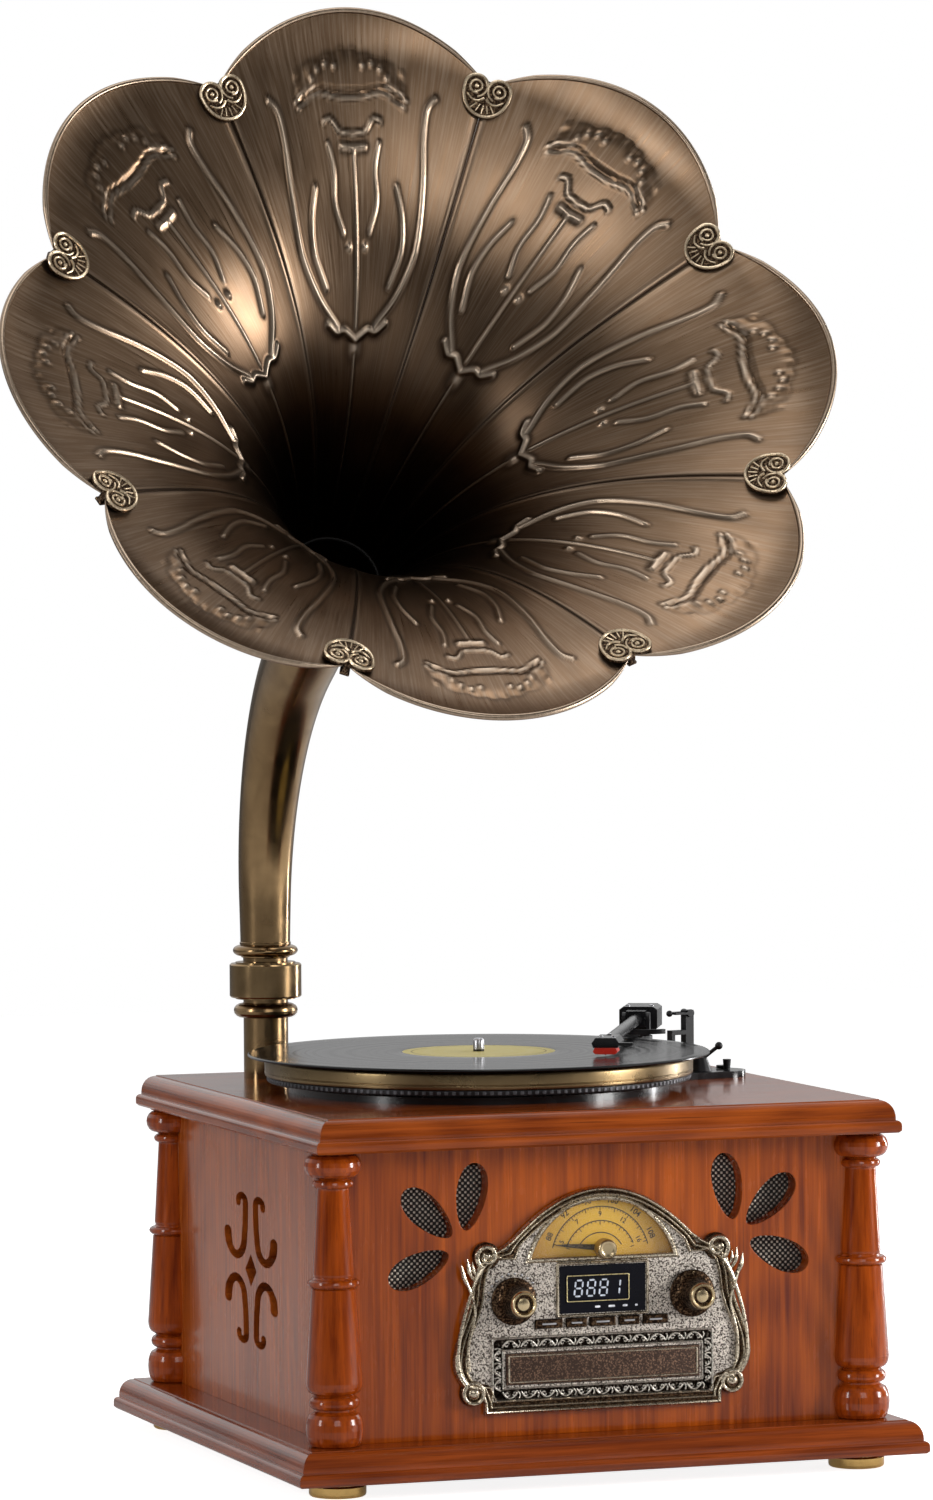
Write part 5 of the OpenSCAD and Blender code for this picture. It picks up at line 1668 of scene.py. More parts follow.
    def petal_grid(self, columns: int, rows: int) -> tuple[Grid, Grid, Grid, Grid, Grid]:
        """The plain sheet of a petal before it is stamped.

        Args:
            columns: Half the number of stretches across.
            rows: Number of stretches from throat to rim.

        Returns:
            Share across, radius and depth of each point, and the radial and axial parts of its inward normal.
        """
        v = np.concatenate([-np.linspace(1, 0, columns + 1)[:-1], np.linspace(0, 1, columns + 1)])
        share = np.linspace(0, 1, rows + 1) ** 0.8
        bulge = 1 + self.bulge * np.cos(np.pi / 2 * v)
        reach = self.tip_reach * self.scallop(v)
        whole = share[:, None] * (self.bell_l + self.border + reach[None, :] * 0.8)
        t = np.minimum(whole, self.bell_l)
        e = np.clip((whole - self.bell_l) / (self.border + reach[None, :] * 0.8), 0, 1) * reach[None, :]
        r = self.throat_r * (self.mouth_r / self.throat_r) ** ((t / self.bell_l) ** self.flare)
        r = r * (1 + (bulge[None, :] - 1) * t / self.bell_l) + e
        depth = t + 0.43 * e + 0.006 * e**2
        dr, dt = np.gradient(r, axis=0), np.gradient(depth, axis=0)
        size = np.hypot(dr, dt) + 1e-9
        for k in range(1, rows + 1):
            thin = size[k] < 1e-6
            dr[k, thin], dt[k, thin], size[k, thin] = dr[k - 1, thin], dt[k - 1, thin], size[k - 1, thin]
        return np.broadcast_to(v, r.shape), r, depth, -dt / size, dr / size

    def petal(self) -> tuple[Grid, list[tuple[int, ...]], Grid]:
        """One stamped petal about the bell's axis: both faces, the rolled rim and the seam lips.

        Returns:
            Points, faces and the stamping's two masks for each point.
        """
        half = math.pi / self.petals - math.radians(0.04)
        points: list[Grid] = []
        masks: list[Grid] = []
        faces: list[tuple[int, ...]] = []
        count = 0

        def sheet(
            r: Grid, depth: Grid, v: Grid, top: Grid, hollow: Grid, flip: bool
        ) -> None:
            """Adds a grid of points and its faces.

            Args:
                r: Distance of each point from the axis.
                depth: Its place along the axis.
                v: Its share across the petal.
                top: Its mask of the ridges.
                hollow: Its mask of the hollows.
                flip: Whether its faces look the other way.
            """
            nonlocal count
            a = math.pi / 2 + v * half
            points.append(np.stack([r * np.cos(a), r * np.sin(a), depth], -1).reshape(-1, 3))
            masks.append(np.stack([top, hollow], -1).reshape(-1, 2))
            m = r.shape[1]
            for k in range(r.shape[0] - 1):
                base = count + k * m
                for i in range(m - 1):
                    face = (base + i, base + i + 1, base + m + i + 1, base + m + i)
                    faces.append(face if flip else face[::-1])
            count += r.size

        v, r, depth, nr, nt = self.petal_grid(self.columns, self.rows)
        height, top, hollow = self.stamping(r * v * half, r)
        calm_at, fold_at, seam_at = 0.965, 0.968, 0.98
        calm = np.clip((calm_at - np.abs(v)) / 0.02, 0, 1) * np.clip((r - 34) / 10, 0, 1)
        fold = np.exp(-(((np.abs(v) - fold_at) * r * half / 1.1) ** 2)) * 0.45
        seam = np.clip((np.abs(v) - seam_at) / 0.008, 0, 1)
        rise = height * calm + fold
        # the folds by the seams get a painted highlight; the seams get a dark joint
        top, hollow = np.maximum(top * calm, 0.45 * fold), np.maximum(hollow * calm, seam)
        sheet(r + nr * rise, depth + nt * rise, v, top, hollow, False)
        v, r, depth, nr, nt = self.petal_grid(self.columns // 2, self.rows // 2)
        height, top, _ = self.stamping(r * v * half, r)
        calm = np.clip((0.97 - np.abs(v)) / 0.02, 0, 1) * np.clip((r - 34) / 10, 0, 1)
        sunk = height * calm - self.sheet_t
        sheet(r + nr * sunk, depth + nt * sunk, v, 0 * top, 0.4 * top * calm, True)
        rim_r = self.sheet_t / 2 + (self.bead_r - self.sheet_t / 2) * np.minimum(1, 2.2 * self.scallop(v[-1]))
        out_r, out_t = nt[-1], -nr[-1]
        cr = r[-1] + out_r * rim_r * 0.8 - nr[-1] * self.sheet_t / 2
        ct = depth[-1] + out_t * rim_r * 0.8 - nt[-1] * self.sheet_t / 2
        angles = np.linspace(0, 2 * math.pi, 15)[:, None]
        bead_r = cr + rim_r * (np.cos(angles) * out_r + np.sin(angles) * nr[-1])
        bead_t = ct + rim_r * (np.cos(angles) * out_t + np.sin(angles) * nt[-1])
        # the rolled rim gets an even painted highlight
        sheet(bead_r, bead_t, np.broadcast_to(v[-1], bead_r.shape), 0.6 + 0 * bead_r, 0 * bead_r, True)
        for side in (-1, 1):
            column = 0 if side < 0 else -1
            edge = (r[:, column], depth[:, column], nr[:, column], nt[:, column])
            lift = self.lip * np.clip(np.arange(len(edge[0])) / 6, 0, 1)
            offsets = (0.3 * np.ones_like(lift), -self.sheet_t - lift, -self.sheet_t - lift, -0.3 * np.ones_like(lift))
            shares = (1.0, 1.0, 0.975, 0.97)
            rr = np.stack([edge[0] + edge[2] * o for o in offsets], 1)
            tt = np.stack([edge[1] + edge[3] * o for o in offsets], 1)
            vv = np.broadcast_to(np.array(shares) * side, rr.shape)
            # the seam lips get a faint painted highlight and some patina
            sheet(rr, tt, vv, 0.2 + 0 * rr, 0.3 + 0 * rr, side < 0)
        return np.vstack(points), faces, np.vstack(masks)

    def bell(self) -> None:
        """Eight petals from one stamping, each in its own place round the axis."""
        points, faces, masks = self.petal()
        mesh = bpy.data.meshes.new("stamped_petal")
        mesh.from_pydata((points * METRE).tolist(), [], faces)
        mesh.materials.append(HORN_BRONZE.material())
        mesh.update()
        mesh.shade_smooth()
        tone = mesh.color_attributes.new("stamping", "FLOAT_COLOR", "POINT")
        empty = np.zeros_like(masks[:, :1])
        tone.data.foreach_set("color", np.hstack([masks, empty, empty + 1]).ravel())
        to_metres = Matrix.Scale(1 / METRE, 4)
        for i in range(self.petals):
            made = put(f"stamped_petal_{i + 1}", mesh)
            spin = self.petal_turn + self.pitch / 2 - 90 + self.pitch * i
            made.matrix_world = TO_MODEL @ self.on_bell @ turn(spin, "Z") @ to_metres
            seat(made, "horn", "horn_brass", f"petal_{i + 1}")

    @staticmethod
    def clip_outline(inset: float) -> list[Flat]:
        """Outline of a clip, a distance inside its edge: two lobes towards the rim and one round chin.

        Args:
            inset: The distance.

        Returns:
            The points of the outline.
        """
        r, cx, cy = 8.7 - inset, 4.8, 7.5
        lobe = arc(cx, cy, r, r, -math.degrees(math.asin(cy / r)), 100, 16)
        far, wide = lobe[-1]
        chin = [
            (far - (far + 15.0 - inset) * math.sin(t), wide * math.cos(t)) for t in np.radians(np.linspace(6, 90, 14))
        ]
        half = lobe + chin
        return half + [(x, -y) for x, y in reversed(half[1:-1])]

    def clip(self) -> Shape:
        """Medallion with two ringed eyes, the lines below them and the leg behind the sheet.

        Returns:
            One clip about its own foot.
        """
        shape = Shape().add(cut_plate(self.clip_outline(0.1), (), 2.0, 0.5))
        shape.add(
            rail(
                self.clip_outline(1.15),
                [(1.05 * math.cos(a), 2.1 + math.sin(a)) for a in np.radians(range(0, 360, 45))],
            ),
            None, 1,
        )
        for s in (-1, 1):
            eye = [(x, s * y, 2.3) for x, y in spiral(4.8, 7.3, 4.5, 3.2, 200, -190, 44)]
            shape.add(tube(eye, np.linspace(0.85, 0.5, len(eye)), 8), None, 1)
            shape.add(lathe(ball(1.4, 0), 20), shift(4.8, s * 7.3, 2.1), 1)
            ridge = [(x, s * y, 2.2) for x, y in arc(4.8, 7.5, 7.0, 7.0, -85, -160, 10)]
            shape.add(tube(ridge, 0.6, 8), None, 1)
            brow = smooth_line(
                [(-1.8, s * 0.8, 2.3), (-4.2, s * 3.6, 2.5), (-4.4, s * 7.8, 2.5), (-1.4, s * 11.8, 2.3)], 5
            )
            shape.add(tube(brow, np.linspace(0.9, 0.5, len(brow)), 8), None, 1)
        for k in (-2, -1, 0, 1, 2):
            crease = [(-6.4 + 0.35 * abs(k), 2.3 * k, 2.1), (-12.2 + 1.1 * abs(k), 3.9 * k, 2.1)]
            shape.add(tube(crease, 0.42, 6), None, 1)
        shape.add(cut_plate(oblong(3.0, 3.6, 0.5), (), 1.3, 0.3), shift(8.9, 0, 0))
        shape.add(cut_plate(oblong(1.5, 3.6, 0.4), (), 8.3, 0.2), shift(9.6, 0, -7))
        shape.add(cut_plate(oblong(7.4, 6, 0.6), (), 1.8, 0.4), shift(6.7, 0, -7.6))
        shape.add(lathe([(0, -0.9), (2.8, -0.9), (3, -0.6), (3, 0.2), (0, 0.2)], 24), shift(-6, 0, 0))
        return shape

    def clips(self) -> None:
        """Eight clips at the notches of the rim."""
        one = self.clip()
        points = np.vstack(one.points)
        shape = Shape()
        for i in range(self.petals):
            notch = self.on_bell @ turn(self.petal_turn + self.pitch * i, "Z")
            place = notch @ shift(self.mouth_r - self.clip_in, 0, self.bell_l - self.clip_back)
            shape.add((points, one.faces), place @ turn(self.clip_tilt, "Y") @ shift(0, 0, self.clip_lift))
            shape.finish[-len(one.faces) :] = one.finish
        seat(shape.piece("scroll_clips", [CLIP_GROUND, CLIP_BRONZE]), "horn", "horn_brass", "rim_clips")

    def build(self) -> None:
        """The whole horn."""
        paint(PIPE_BRASS, "socket_pipe")
        paint(RING_BRASS, "lock_collar")
        self.elbow()
        self.bell()
        self.clips()


@dataclass
class Turntable:
    """Deck, platter with its toothed band, record and drive."""

    spindle: Flat = (-22.0, -5.0)
    platter_r: float = 140.0
    platter_top: float = 258.5
    rim_h: float = 12.0
    teeth: int = 180
    facets: int = 256

    def platter(self) -> None:
        """Brass platter with a crowned rim over a black band of teeth."""
        r, top = self.platter_r, self.platter_top
        low = top - self.rim_h
        outer = [
            (r - 2.6, low), (r - 1.2, low + 0.1), (r - 0.3, low + 0.7), (r, low + 1.8), (r, low + 2.6),
            (r - 0.5, low + 3.0), (r - 0.5, low + 3.3), (r - 0.1, low + 3.7), (r, top - 3.0), (r - 0.2, top - 1.6),
            (r - 0.9, top - 0.5), (r - 2.2, top),
        ]
        inner = [
            (54.0, top), (3.64, top), (3.64, 255.1), (44, 255.1), (50, top - 2), (r - 4.6, top - 2), (r - 3.6, top - 3),
            (r - 3.6, low - 3.3), (r - 2.6, low - 3.4), (r - 2.6, low),
        ]
        shape = Shape().add(lathe(outer + inner, self.facets), shift(*self.spindle))
        band = [
            (r - 3.5, low - 3.4), (r - 1.9, low - 3.4), (r - 1.7, low - 3.0), (r - 1.7, low - 0.1),
            (r - 3.5, low - 0.1), (r - 3.5, low - 3.4),
        ]
        shape.add(lathe(band, self.facets), shift(*self.spindle), 1)
        tooth = cut_plate(oblong(2.2, 2.3, 0.5), (), 0.5, 0.12)
        for i in range(self.teeth):
            spoke = shift(*self.spindle) @ turn(360 * i / self.teeth, "Z")
            shape.add(tooth, spoke @ shift(r - 1.85, 0, low - 1.7) @ turn(90, "Y") @ turn(90, "Z"), 2)
        seat(
            shape.piece("brass_platter", [RIM_BRASS, SATIN_BLACK, CORE_STEEL]), "turntable", "platter_brass", "platter"
        )

    def build(self) -> None:
        """Finishes of the deck, the record and the drive, and the platter."""
        paint(GLOSS_BLACK, "deck_plate", "sub_platter")
        paint(CASE_STEEL, "drive_motor")
        paint(RING_BRASS, "motor_pulley")
        paint(RUBBER, "drive_belt")
        paint(FELT, "slip_mat")
        paint(Vinyl("record_vinyl"), "record")
        paint(SATIN_BLACK, "speed_lever", "stop_switch")
        self.platter()
        tip = [(0, 262.4), (3.75, 262.4), (3.75, 268.0), (3.4, 268.8), (2.4, 269.6), (0, 269.9)]
        cap = Shape().add(lathe(tip, 40), shift(*self.spindle))
        seat(cap.piece("spindle_cap", [STEEL]), "turntable", "core_steel")


@dataclass
class Tonearm:
    """Arm, head, weight, rest and lift."""

    pivot: Flat = (132.0, 110.0)
    arm_z: float = 269.3
    arm_angle: float = -26.3

    @property
    def on_arm(self) -> Matrix:
        """Frame of the playing arm: its head lies along -y."""
        return shift(*self.pivot) @ turn(self.arm_angle, "Z") @ shift(0, 0, self.arm_z)

    def screws(self) -> None:
        """Small screws on the head and the weight."""
        shape = Shape()
        head = [(0, 0.9), (1.2, 0.85), (1.5, 0.5), (1.5, 0), (0, 0)]
        for x, y, z in ((-4, -198, 3.4), (4, -198, 3.4), (0, -182, 3.4), (-8, 26, 7.7), (8, 26, 7.7)):
            shape.add(lathe(head, 20), self.on_arm @ shift(x, y, z))
        seat(shape.piece("arm_screws", [STEEL]), "tonearm", "core_steel")

    def build(self) -> None:
        """Finishes of the arm's nodes and its screws."""
        paint(SATIN_BLACK, "arm_base", "arm_rest", "rest_clip", "lift_bar", "cue_lever", "arm_gimbal")
        paint(GLOSS_BLACK, "arm_tube", "counterweight")
        paint(RED, "cartridge")
        self.screws()


@dataclass
class RadioFront:
    """Cast front plate with its dial, display, knobs, buttons and drawer."""

    plate_z: float = 46.0
    half: float = 100.0
    high: float = 141.0
    thick: float = 3.0
    rail_h: float = 2.6
    arch_half: float = 60.0
    arch_drop: float = 31.0
    tray_z: float = 74.0
    button_z: float = 101.7
    knob_z: float = 117.0
    display_z: float = 122.5
    dial_z: float = 143.0
    dial_r: float = 50.0
    tuner_z: float = 148.0
    knob_x: float = 60.0
    button_x: tuple[float, ...] = (-36.4, -17.9, -0.3, 17.6, 35.4)
    button_w: tuple[float, ...] = (18, 13.5, 17, 13.5, 16.4)
    opening: Flat = (130.6, 20.3)
    screen: Flat = (57.5, 30.0)
    shaft_r: float = 3.4
    ink_z: float = -0.68

    def flank(self, g: float) -> list[Flat]:
        """Right half of the plate's outline, a distance inside its edge.

        Args:
            g: The distance.

        Returns:
            The points from the foot up.
        """
        z, h = self.plate_z, self.half
        out = [(0.0, z + g), (80 - g, z + g), (80 - g, z + 8), (84 - g, z + 17)]
        out += [(h - 6 * (1 - t) ** 2 - g, z + 19 + 14 * t) for t in np.linspace(0, 1, 9)]
        out += [(h - 6 * (1 - math.cos(math.pi * t)) - g, z + 33 + 47 * t) for t in np.linspace(0, 1, 25)[1:]]
        out += [(h - 13 - g, z + 86), (h - 15 - g, z + 92), (79 - g, z + 99), (74 - g, self.shoulder - 8 - g / 2)]
        return out + [(self.arch_half + 7 - g, self.shoulder - 4 - g)]

    @property
    def shoulder(self) -> float:
        """Height at which the arch begins."""
        return self.plate_z + self.high - self.arch_drop

    def outline(self, g: float) -> list[Flat]:
        """Closed outline of the plate, a distance inside its edge.

        Args:
            g: The distance.

        Returns:
            The points of the outline.
        """
        steps = [(self.arch_half - g / 2) * i / 30 for i in range(30, 0, -1)]
        arch = [(x, self.plate_z + self.high - g - self.arch_drop * (x / self.arch_half) ** 2) for x in steps]
        right = self.flank(g) + arch
        return right + [(-x, z) for x, z in reversed(right[1:])]

    def window(self, g: float, steps: int = 60) -> list[Flat]:
        """Outline of the dial's window, a distance inside its edge.

        Args:
            g: The distance.
            steps: Number of stretches over its arch.

        Returns:
            The points of the outline.
        """
        r, low = self.dial_r - g, self.dial_z + g
        centre = self.dial_z - 14
        start = math.degrees(math.asin((low - centre) / r))
        return arc(0, centre, r, r, start, 180 - start, steps)

    def plate(self) -> None:
        """Stippled field, border rails and coves, volutes, spurs, scrolls and the drawer's frame."""
        holes = [self.window(0)]
        holes += [oblong(*self.screen, 0, 0, self.display_z), oblong(*self.opening, 0, 0, self.tray_z)]
        holes += [oblong(w + 0.6, 6.0, 0, x, self.button_z) for x, w in zip(self.button_x, self.button_w)]
        holes += [arc(s * self.knob_x, self.knob_z, self.shaft_r, self.shaft_r, 0, 345, 23) for s in (-1, 1)]
        shape = Shape().add(cut_plate(self.outline(0.6), holes, self.thick, 0.25), ON_FRONT)
        top = self.thick + self.rail_h
        cove = [(-2.6, 2.6), (-2.6, 4.1), (-1.4, 3.4), (0, 3.15), (1.4, 3.4), (2.4, 4.0), (2.4, 2.6)]
        rails = ((1.4, round_top(2.7, 2.2, top), 1), (4.7, round_top(1.7, 2.8, top - 0.5), 1), (5.2, cove, 2),
                 (8.2, round_top(1.5, 2.8, top - 0.8), 1))
        for inset, section, finish in rails:
            shape.add(rail(self.outline(inset), section), ON_FRONT, finish)
        rim = self.window(-1.4)
        hood = [(1.6, 1.0), (1.6, 3.8), (0.9, 4.4), (-0.2, 4.4), (-1.3, 3.2), (-1.3, 1.0)]
        shape.add(rail(rim, hood), ON_FRONT, 1)
        for s in (-1, 1):
            self.volute(shape, s)
            self.scroll_ball(shape, s)
            self.strands(shape, s)
        self.drawer_frame(shape)
        frame_line = oblong(60.5, 33, 0.8, 0, self.display_z)
        shape.add(rail(frame_line, round_top(2.0, 2.8, 4.3, 6)), ON_FRONT, 1)
        piece = shape.piece("cast_front_plate", [PEWTER, RAIL_BRONZE, DARK_BRONZE, SCROLL_SILVER, SCROLL_BED])
        seat(piece, "root", "pewter", "faceplate")

    def volute(self, shape: Shape, s: int) -> None:
        """Spiral scroll at a shoulder of the plate.

        Args:
            shape: The shape that it joins.
            s: -1 on the left, 1 on the right.
        """
        cx, cz = s * (self.half - 22.5), self.plate_z + 100
        shape.add(lathe([(0, 0), (8.6, 0), (8.6, 3.4), (7.6, 4.2), (0, 4.2)], 40), ON_FRONT @ shift(cx, cz), 2)
        line = [(cx + s * x, cz + y, 4.9) for x, y in spiral(0, 0, 7.6, 2.6, -60, 400, 60)]
        shape.add(tube(line, np.linspace(1.8, 1.1, len(line)), 10), ON_FRONT, 1)
        shape.add(lathe(ball(2.6, 0), 28), ON_FRONT @ shift(cx, cz, 3.9), 1)

    def scroll_ball(self, shape: Shape, s: int) -> None:
        """Ring with a domed eye at a lower corner of the plate.

        Args:
            shape: The shape that it joins.
            s: -1 on the left, 1 on the right.
        """
        place = ON_FRONT @ shift(s * (self.half - 13), self.plate_z + 14)
        shape.add(lathe([(0, 0), (8.2, 0), (8.2, 3.0), (7.4, 4.0), (0, 4.0)], 40), place, 2)
        ring = [(6.5 * math.cos(a), 6.5 * math.sin(a), 4.3) for a in np.radians(range(0, 361, 12))]
        shape.add(tube(ring, 1.5, 10), place, 1)
        shape.add(lathe([(4.2, 3.6), (3.9, 5.0), (3.0, 6.3), (1.6, 7.1), (0, 7.4)], 28), place, 1)

    def strands(self, shape: Shape, s: int) -> None:
        """Crossing strands on a flank and the three spurs under the volute.

        Args:
            shape: The shape that it joins.
            s: -1 on the left, 1 on the right.
        """
        z, h = self.plate_z, self.half
        outer = [
            (20, 94, 4.6), (15, 86, 5.2), (11, 76, 5.6), (5.5, 58, 5.2), (2.6, 40, 4.8), (4, 27, 4.8), (8, 20, 4.6)
        ]
        strand = smooth_line([(s * (h - x), z + y, up) for x, y, up in outer], 6)
        shape.add(tube(strand, 1.3, 8), ON_FRONT, 1)
        inner = [(6.8, 88, 4.4), (11.5, 76, 6.0), (14, 64, 4.9), (9.5, 44, 4.6), (10, 28, 4.6)]
        strand = smooth_line([(s * (h - x), z + y, up) for x, y, up in inner], 6)
        shape.add(tube(strand, np.linspace(0.9, 1.2, len(strand)), 8), ON_FRONT, 1)
        spurs = (
            ((h - 5.2, z + 95.5), (h - 12, z + 79), 1.7),
            ((h - 9.2, z + 99), (h - 14.5, z + 84), 1.5),
            ((h - 12.6, z + 97), (h - 16.5, z + 87), 1.2),
        )
        for tip, root, size in spurs:
            mid = ((tip[0] + root[0]) / 2 + 1.4, (tip[1] + root[1]) / 2 - 0.8)
            line = smooth_line([(s * root[0], root[1], 3.4), (s * mid[0], mid[1], 4.8), (s * tip[0], tip[1], 4.2)], 7)
            taper = np.interp(np.linspace(0, 1, len(line)), [0, 0.6, 1], [size * 0.6, size, 0.25])
            shape.add(tube(line, taper, 8), ON_FRONT, 1)

    def drawer_frame(self, shape: Shape) -> None:
        """Raised frame of the drawer with a running scroll.

        Args:
            shape: The shape that it joins.
        """
        z = self.tray_z
        shape.add(rail(oblong(148, 39.4, 1, 0, z), round_top(1.5, 2.8, 4.3, 6)), ON_FRONT, 3)
        shape.add(rail(oblong(134.4, 24.2, 0.6, 0, z), round_top(1.2, 2.8, 3.9, 6)), ON_FRONT, 3)
        shape.add(rail(oblong(141, 31.8, 0.8, 0, z), [(-3.2, 2.7), (-3.2, 3.08), (3.2, 3.08), (3.2, 2.7)]), ON_FRONT, 4)
        motif = [
            (
                smooth_line([(-5.6, -1.9, 3.4), (-3.2, 1.4, 3.7), (0, 2.1, 3.8), (3.0, 0.4, 3.7), (5.0, -2.0, 3.4)], 4),
                0.55,
            ),
            (np.array([(x, y, 3.6) for x, y in spiral(-2.6, -0.5, 1.7, 0.4, 30, 360, 14)]), 0.5),
            (np.array([(x, y, 3.6) for x, y in spiral(2.4, -0.9, 1.5, 0.4, 150, -180, 14)]), 0.5),
            (smooth_line([(5.0, -2.0, 3.4), (6.2, 0.2, 3.6), (5.6, 2.2, 3.4)], 4), 0.5),
        ]
        for i in range(-5, 6):
            for s in (-1, 1):
                for line, size in motif:
                    flip = line * (1, s, 1)
                    shape.add(tube(flip, size, 6), ON_FRONT @ shift(i * 12.4, z + s * 15.9), 3)
        for i in (-1, 0, 1):
            for s in (-1, 1):
                for line, size in motif:
                    turned = np.stack([s * line[:, 1], line[:, 0] * 0.72, line[:, 2]], 1)
                    shape.add(tube(turned, size, 6), ON_FRONT @ shift(s * 70.6, z + i * 9.2), 3)

    def dial(self) -> None:
        """Printed arcs, ticks and figures on the yellow card, and the clear pane."""
        paint(DIAL_PAPER, "dial_card")
        paint(PANE, "dial_glass")
        paint(DARK_BRONZE, "dial_pointer")
        centre, level = (0.0, self.dial_z - 2.0), self.ink_z
        shape = Shape()
        for r, start, stop in ((33.0, 14, 166), (24.0, 22, 158), (16.5, 30, 150)):
            line = arc(*centre, r, r, start, stop, 48)
            shape.add(rail(line, ink_section(0.34, level), False), ON_FRONT)
        for i in range(41):
            a = math.radians(18 + 144 * i / 40)
            long = 2.6 if i % 5 == 0 else 1.3
            for r in (33.0, 24.0) if i % 2 == 0 else (33.0,):
                stroke = [(centre[0] + q * math.cos(a), centre[1] + q * math.sin(a)) for q in (r, r - long)]
                shape.add(rail(stroke, ink_section(0.26, level), False), ON_FRONT)
        scales = ((("108", "104", "100", "96", "92", "88"), 37.2, 5.2), (("16", "12", "9", "7", "5"), 28.2, 4.4))
        for texts, r, size in scales:
            for k, text in enumerate(texts):
                a = 24 + 132 * k / (len(texts) - 1)
                x, y = r * math.cos(math.radians(a)), r * math.sin(math.radians(a))
                spot = shift(centre[0] + x, centre[1] + y, level + 0.03)
                shape.add(figures(text, size, 0.08), ON_FRONT @ spot @ turn(a - 90, "Z"))
        seat(shape.piece("dial_print", [INK]), "root", "dial_yellow")

    def display(self) -> None:
        """Digits, gold frame and small marks of the display."""
        paint(SCREEN, "display_window")
        z = self.display_z
        shape = Shape()
        shape.add(rail(oblong(41.6, 16.2, 0.8, -3.4, z + 0.6), round_top(1.3, 3.4, 4.2, 6)), ON_FRONT, 0)
        segments = {
            "a": (0, 5, 1), "b": (1, 2.5, 0), "c": (1, -2.5, 0), "d": (0, -5, 1), "e": (-1, -2.5, 0), "f": (-1, 2.5, 0),
            "g": (0, 0, 1),
        }
        shown = ("abcdefg", "abcdefg", "abcdefg", "bc")
        bar = [(-1.9, 0), (-1.4, 0.55), (1.4, 0.55), (1.9, 0), (1.4, -0.55), (-1.4, -0.55)]
        for k, lit in enumerate(shown):
            for key in lit:
                sx, sy, flat = segments[key]
                spot = shift(-16.2 + k * 8.4 + sx * 2.45 + 0.12 * sy, z + 0.6 + sy, 3.42)
                shape.add(cut_plate(bar, (), 0.12), ON_FRONT @ spot @ turn(0 if flat else 84, "Z"), 1)
        for x, w in ((-3.5, 3.6), (6.0, 4.4), (15.0, 3.2), (22.6, 1.8)):
            shape.add(cut_plate(oblong(w, 1.3, 0.5), (), 0.14, 0.04), ON_FRONT @ shift(x, z - 11.4, 3.38), 2)
        seat(shape.piece("display_digits", [FRAME_GOLD, DIGITS, MARKS]), "root", "black_plastic")

    def knob(self, name: str, body: str, node: str, side: int) -> None:
        """Flared knob with a bright ring and a sunk cap on a dark skirt.

        Args:
            name: Name of the piece.
            body: The body that it turns with.
            node: The node that it stands for.
            side: -1 on the left, 1 on the right.
        """
        base = self.thick + 0.6
        skirt = [(0, 0), (14.6, 0), (15, 0.4), (15, 1.8), (14.2, 2.7), (12.6, 3.2), (10.9, 4.6), (9.7, 7.6)]
        skirt += [(8.9, 11.5), (8.3, 15.4), (8.1, 17.2)]
        ring = [(8.1, 17.2), (8.5, 17.8), (8.6, 18.8), (8.4, 20.0), (7.7, 20.9), (6.7, 21), (6.1, 20.4), (5.9, 19.4)]
        cap = [(5.9, 19.4), (5.6, 18.8), (4.2, 18.7)]
        eye = [(4.2, 18.7), (4.0, 19.2), (2.4, 19.7), (0, 19.9)]
        place = ON_FRONT @ shift(side * self.knob_x, self.knob_z)
        shape = Shape().add(lathe([(0, -12), (3, -12), (3, base)], 24), place, 1)
        for profile, sides, finish in ((skirt, 72, 0), (ring, 72, 1), (cap, 72, 0), (eye, 48, 1)):
            shape.add(lathe([(r, base + up) for r, up in profile], sides), place, finish)
        shape.add(
            cut_plate(oblong(1.1, 3.2, 0.4), (), 0.3, 0.08), place @ shift(0, 13.0, base + 2.9) @ turn(28, "X"), 1
        )
        seat(shape.piece(name, [DARK_BRONZE, KNOB_BRASS]), body, "knob_brass", node)

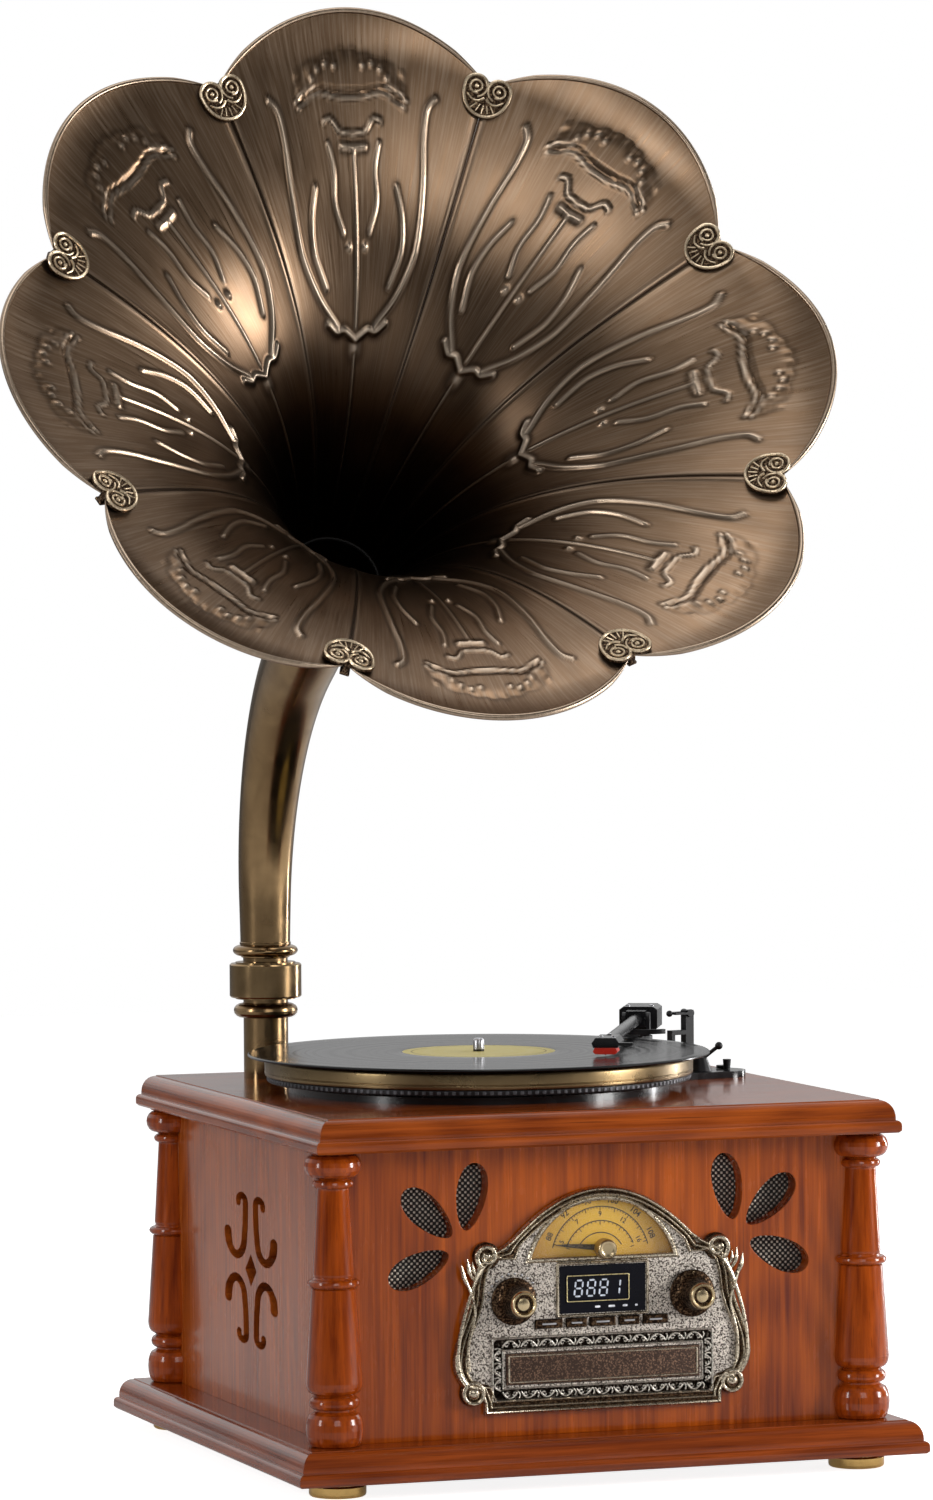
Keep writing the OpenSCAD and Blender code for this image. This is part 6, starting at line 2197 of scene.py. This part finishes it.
    def controls(self) -> None:
        """Knobs, buttons and the row of dots round the left knob."""
        self.knob("volume_ring_knob", "volume", "volume_knob", -1)
        self.knob("function_ring_knob", "function", "function_knob", 1)
        place = ON_FRONT @ shift(0, self.tuner_z, self.thick + 1.6)
        knurl = [(0, 0), (5.6, 0), (6.3, 0.5), (6.3, 8.1), (5.9, 8.9), (5.1, 9.5), (4.0, 9.4), (3.3, 8.8), (0, 8.7)]
        shape = Shape().add(lathe(knurl, 60), place).add(lathe([(0, -15), (3, -15), (3, 0.2)], 24), place)
        for i in range(36):
            shape.add(tube([(6.3, 0, 1.0), (6.3, 0, 7.6)], 0.26, 5), place @ turn(10 * i, "Z"))
        seat(shape.piece("ridged_tuning_knob", [KNOB_BRASS]), "tuner", "knob_brass", "tuning_knob")
        dots = Shape()
        for a in range(40, 176, 15):
            x, y = 17.2 * math.cos(math.radians(a)), 17.2 * math.sin(math.radians(a))
            dots.add(lathe(ball(0.8, 0, 6), 14), ON_FRONT @ shift(-self.knob_x + x, self.knob_z + y, 2.9))
        seat(dots.piece("volume_dots", [STEEL]), "root", "pewter")
        for i, (x, w) in enumerate(zip(self.button_x, self.button_w)):
            place = ON_FRONT @ shift(x, self.button_z)
            key = Shape().add(cut_plate(oblong(w, 5.4, 0.6), (), self.thick + 1.6 + 3, 0.45), place @ shift(0, 0, -3))
            key.add(cut_plate(oblong(w + 1, 7.4, 0.4), (), 1.0, 0.1), place @ shift(0, 0, -1.4))
            key.add(cut_plate(oblong(w * 0.52, 1.1, 0.4), (), 0.2, 0.06), place @ shift(0, 0, self.thick + 1.52), 1)
            made = key.piece(f"bevelled_button_{i + 1}", [DARK_BRONZE, STEEL])
            seat(made, f"key_{i + 1}", "key_bronze", f"button_{i + 1}")

    def drawer(self) -> None:
        """Front of the disc drawer with a thin gold edge."""
        paint(TRAY_BRONZE, "disc_tray")
        place = ON_FRONT @ shift(0, self.tray_z, 3.72)
        shape = Shape().add(cut_plate(oblong(129.4, 19.1, 0.8), (), 0.5, 0.2), place)
        shape.add(rail(oblong(126.6, 16.4, 0.8), round_top(1.1, 0.5, 1.15, 6)), place, 1)
        seat(shape.piece("drawer_front", [TRAY_BRONZE, RAIL_BRONZE]), "tray", "tray_bronze")

    def build(self) -> None:
        """Everything on the front plate."""
        self.plate()
        self.dial()
        self.display()
        self.controls()
        self.drawer()


def main() -> None:
    """Builds and dresses the gramophone in order."""
    logging.basicConfig(level=logging.INFO, format="%(message)s")
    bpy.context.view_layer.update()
    bpy.context.scene.view_settings.view_transform = "Standard"
    for assembly in (Studio(), Cabinet(), Horn(), Turntable(), Tonearm(), RadioFront()):
        assembly.build()


if __name__ == "__main__":
    main()
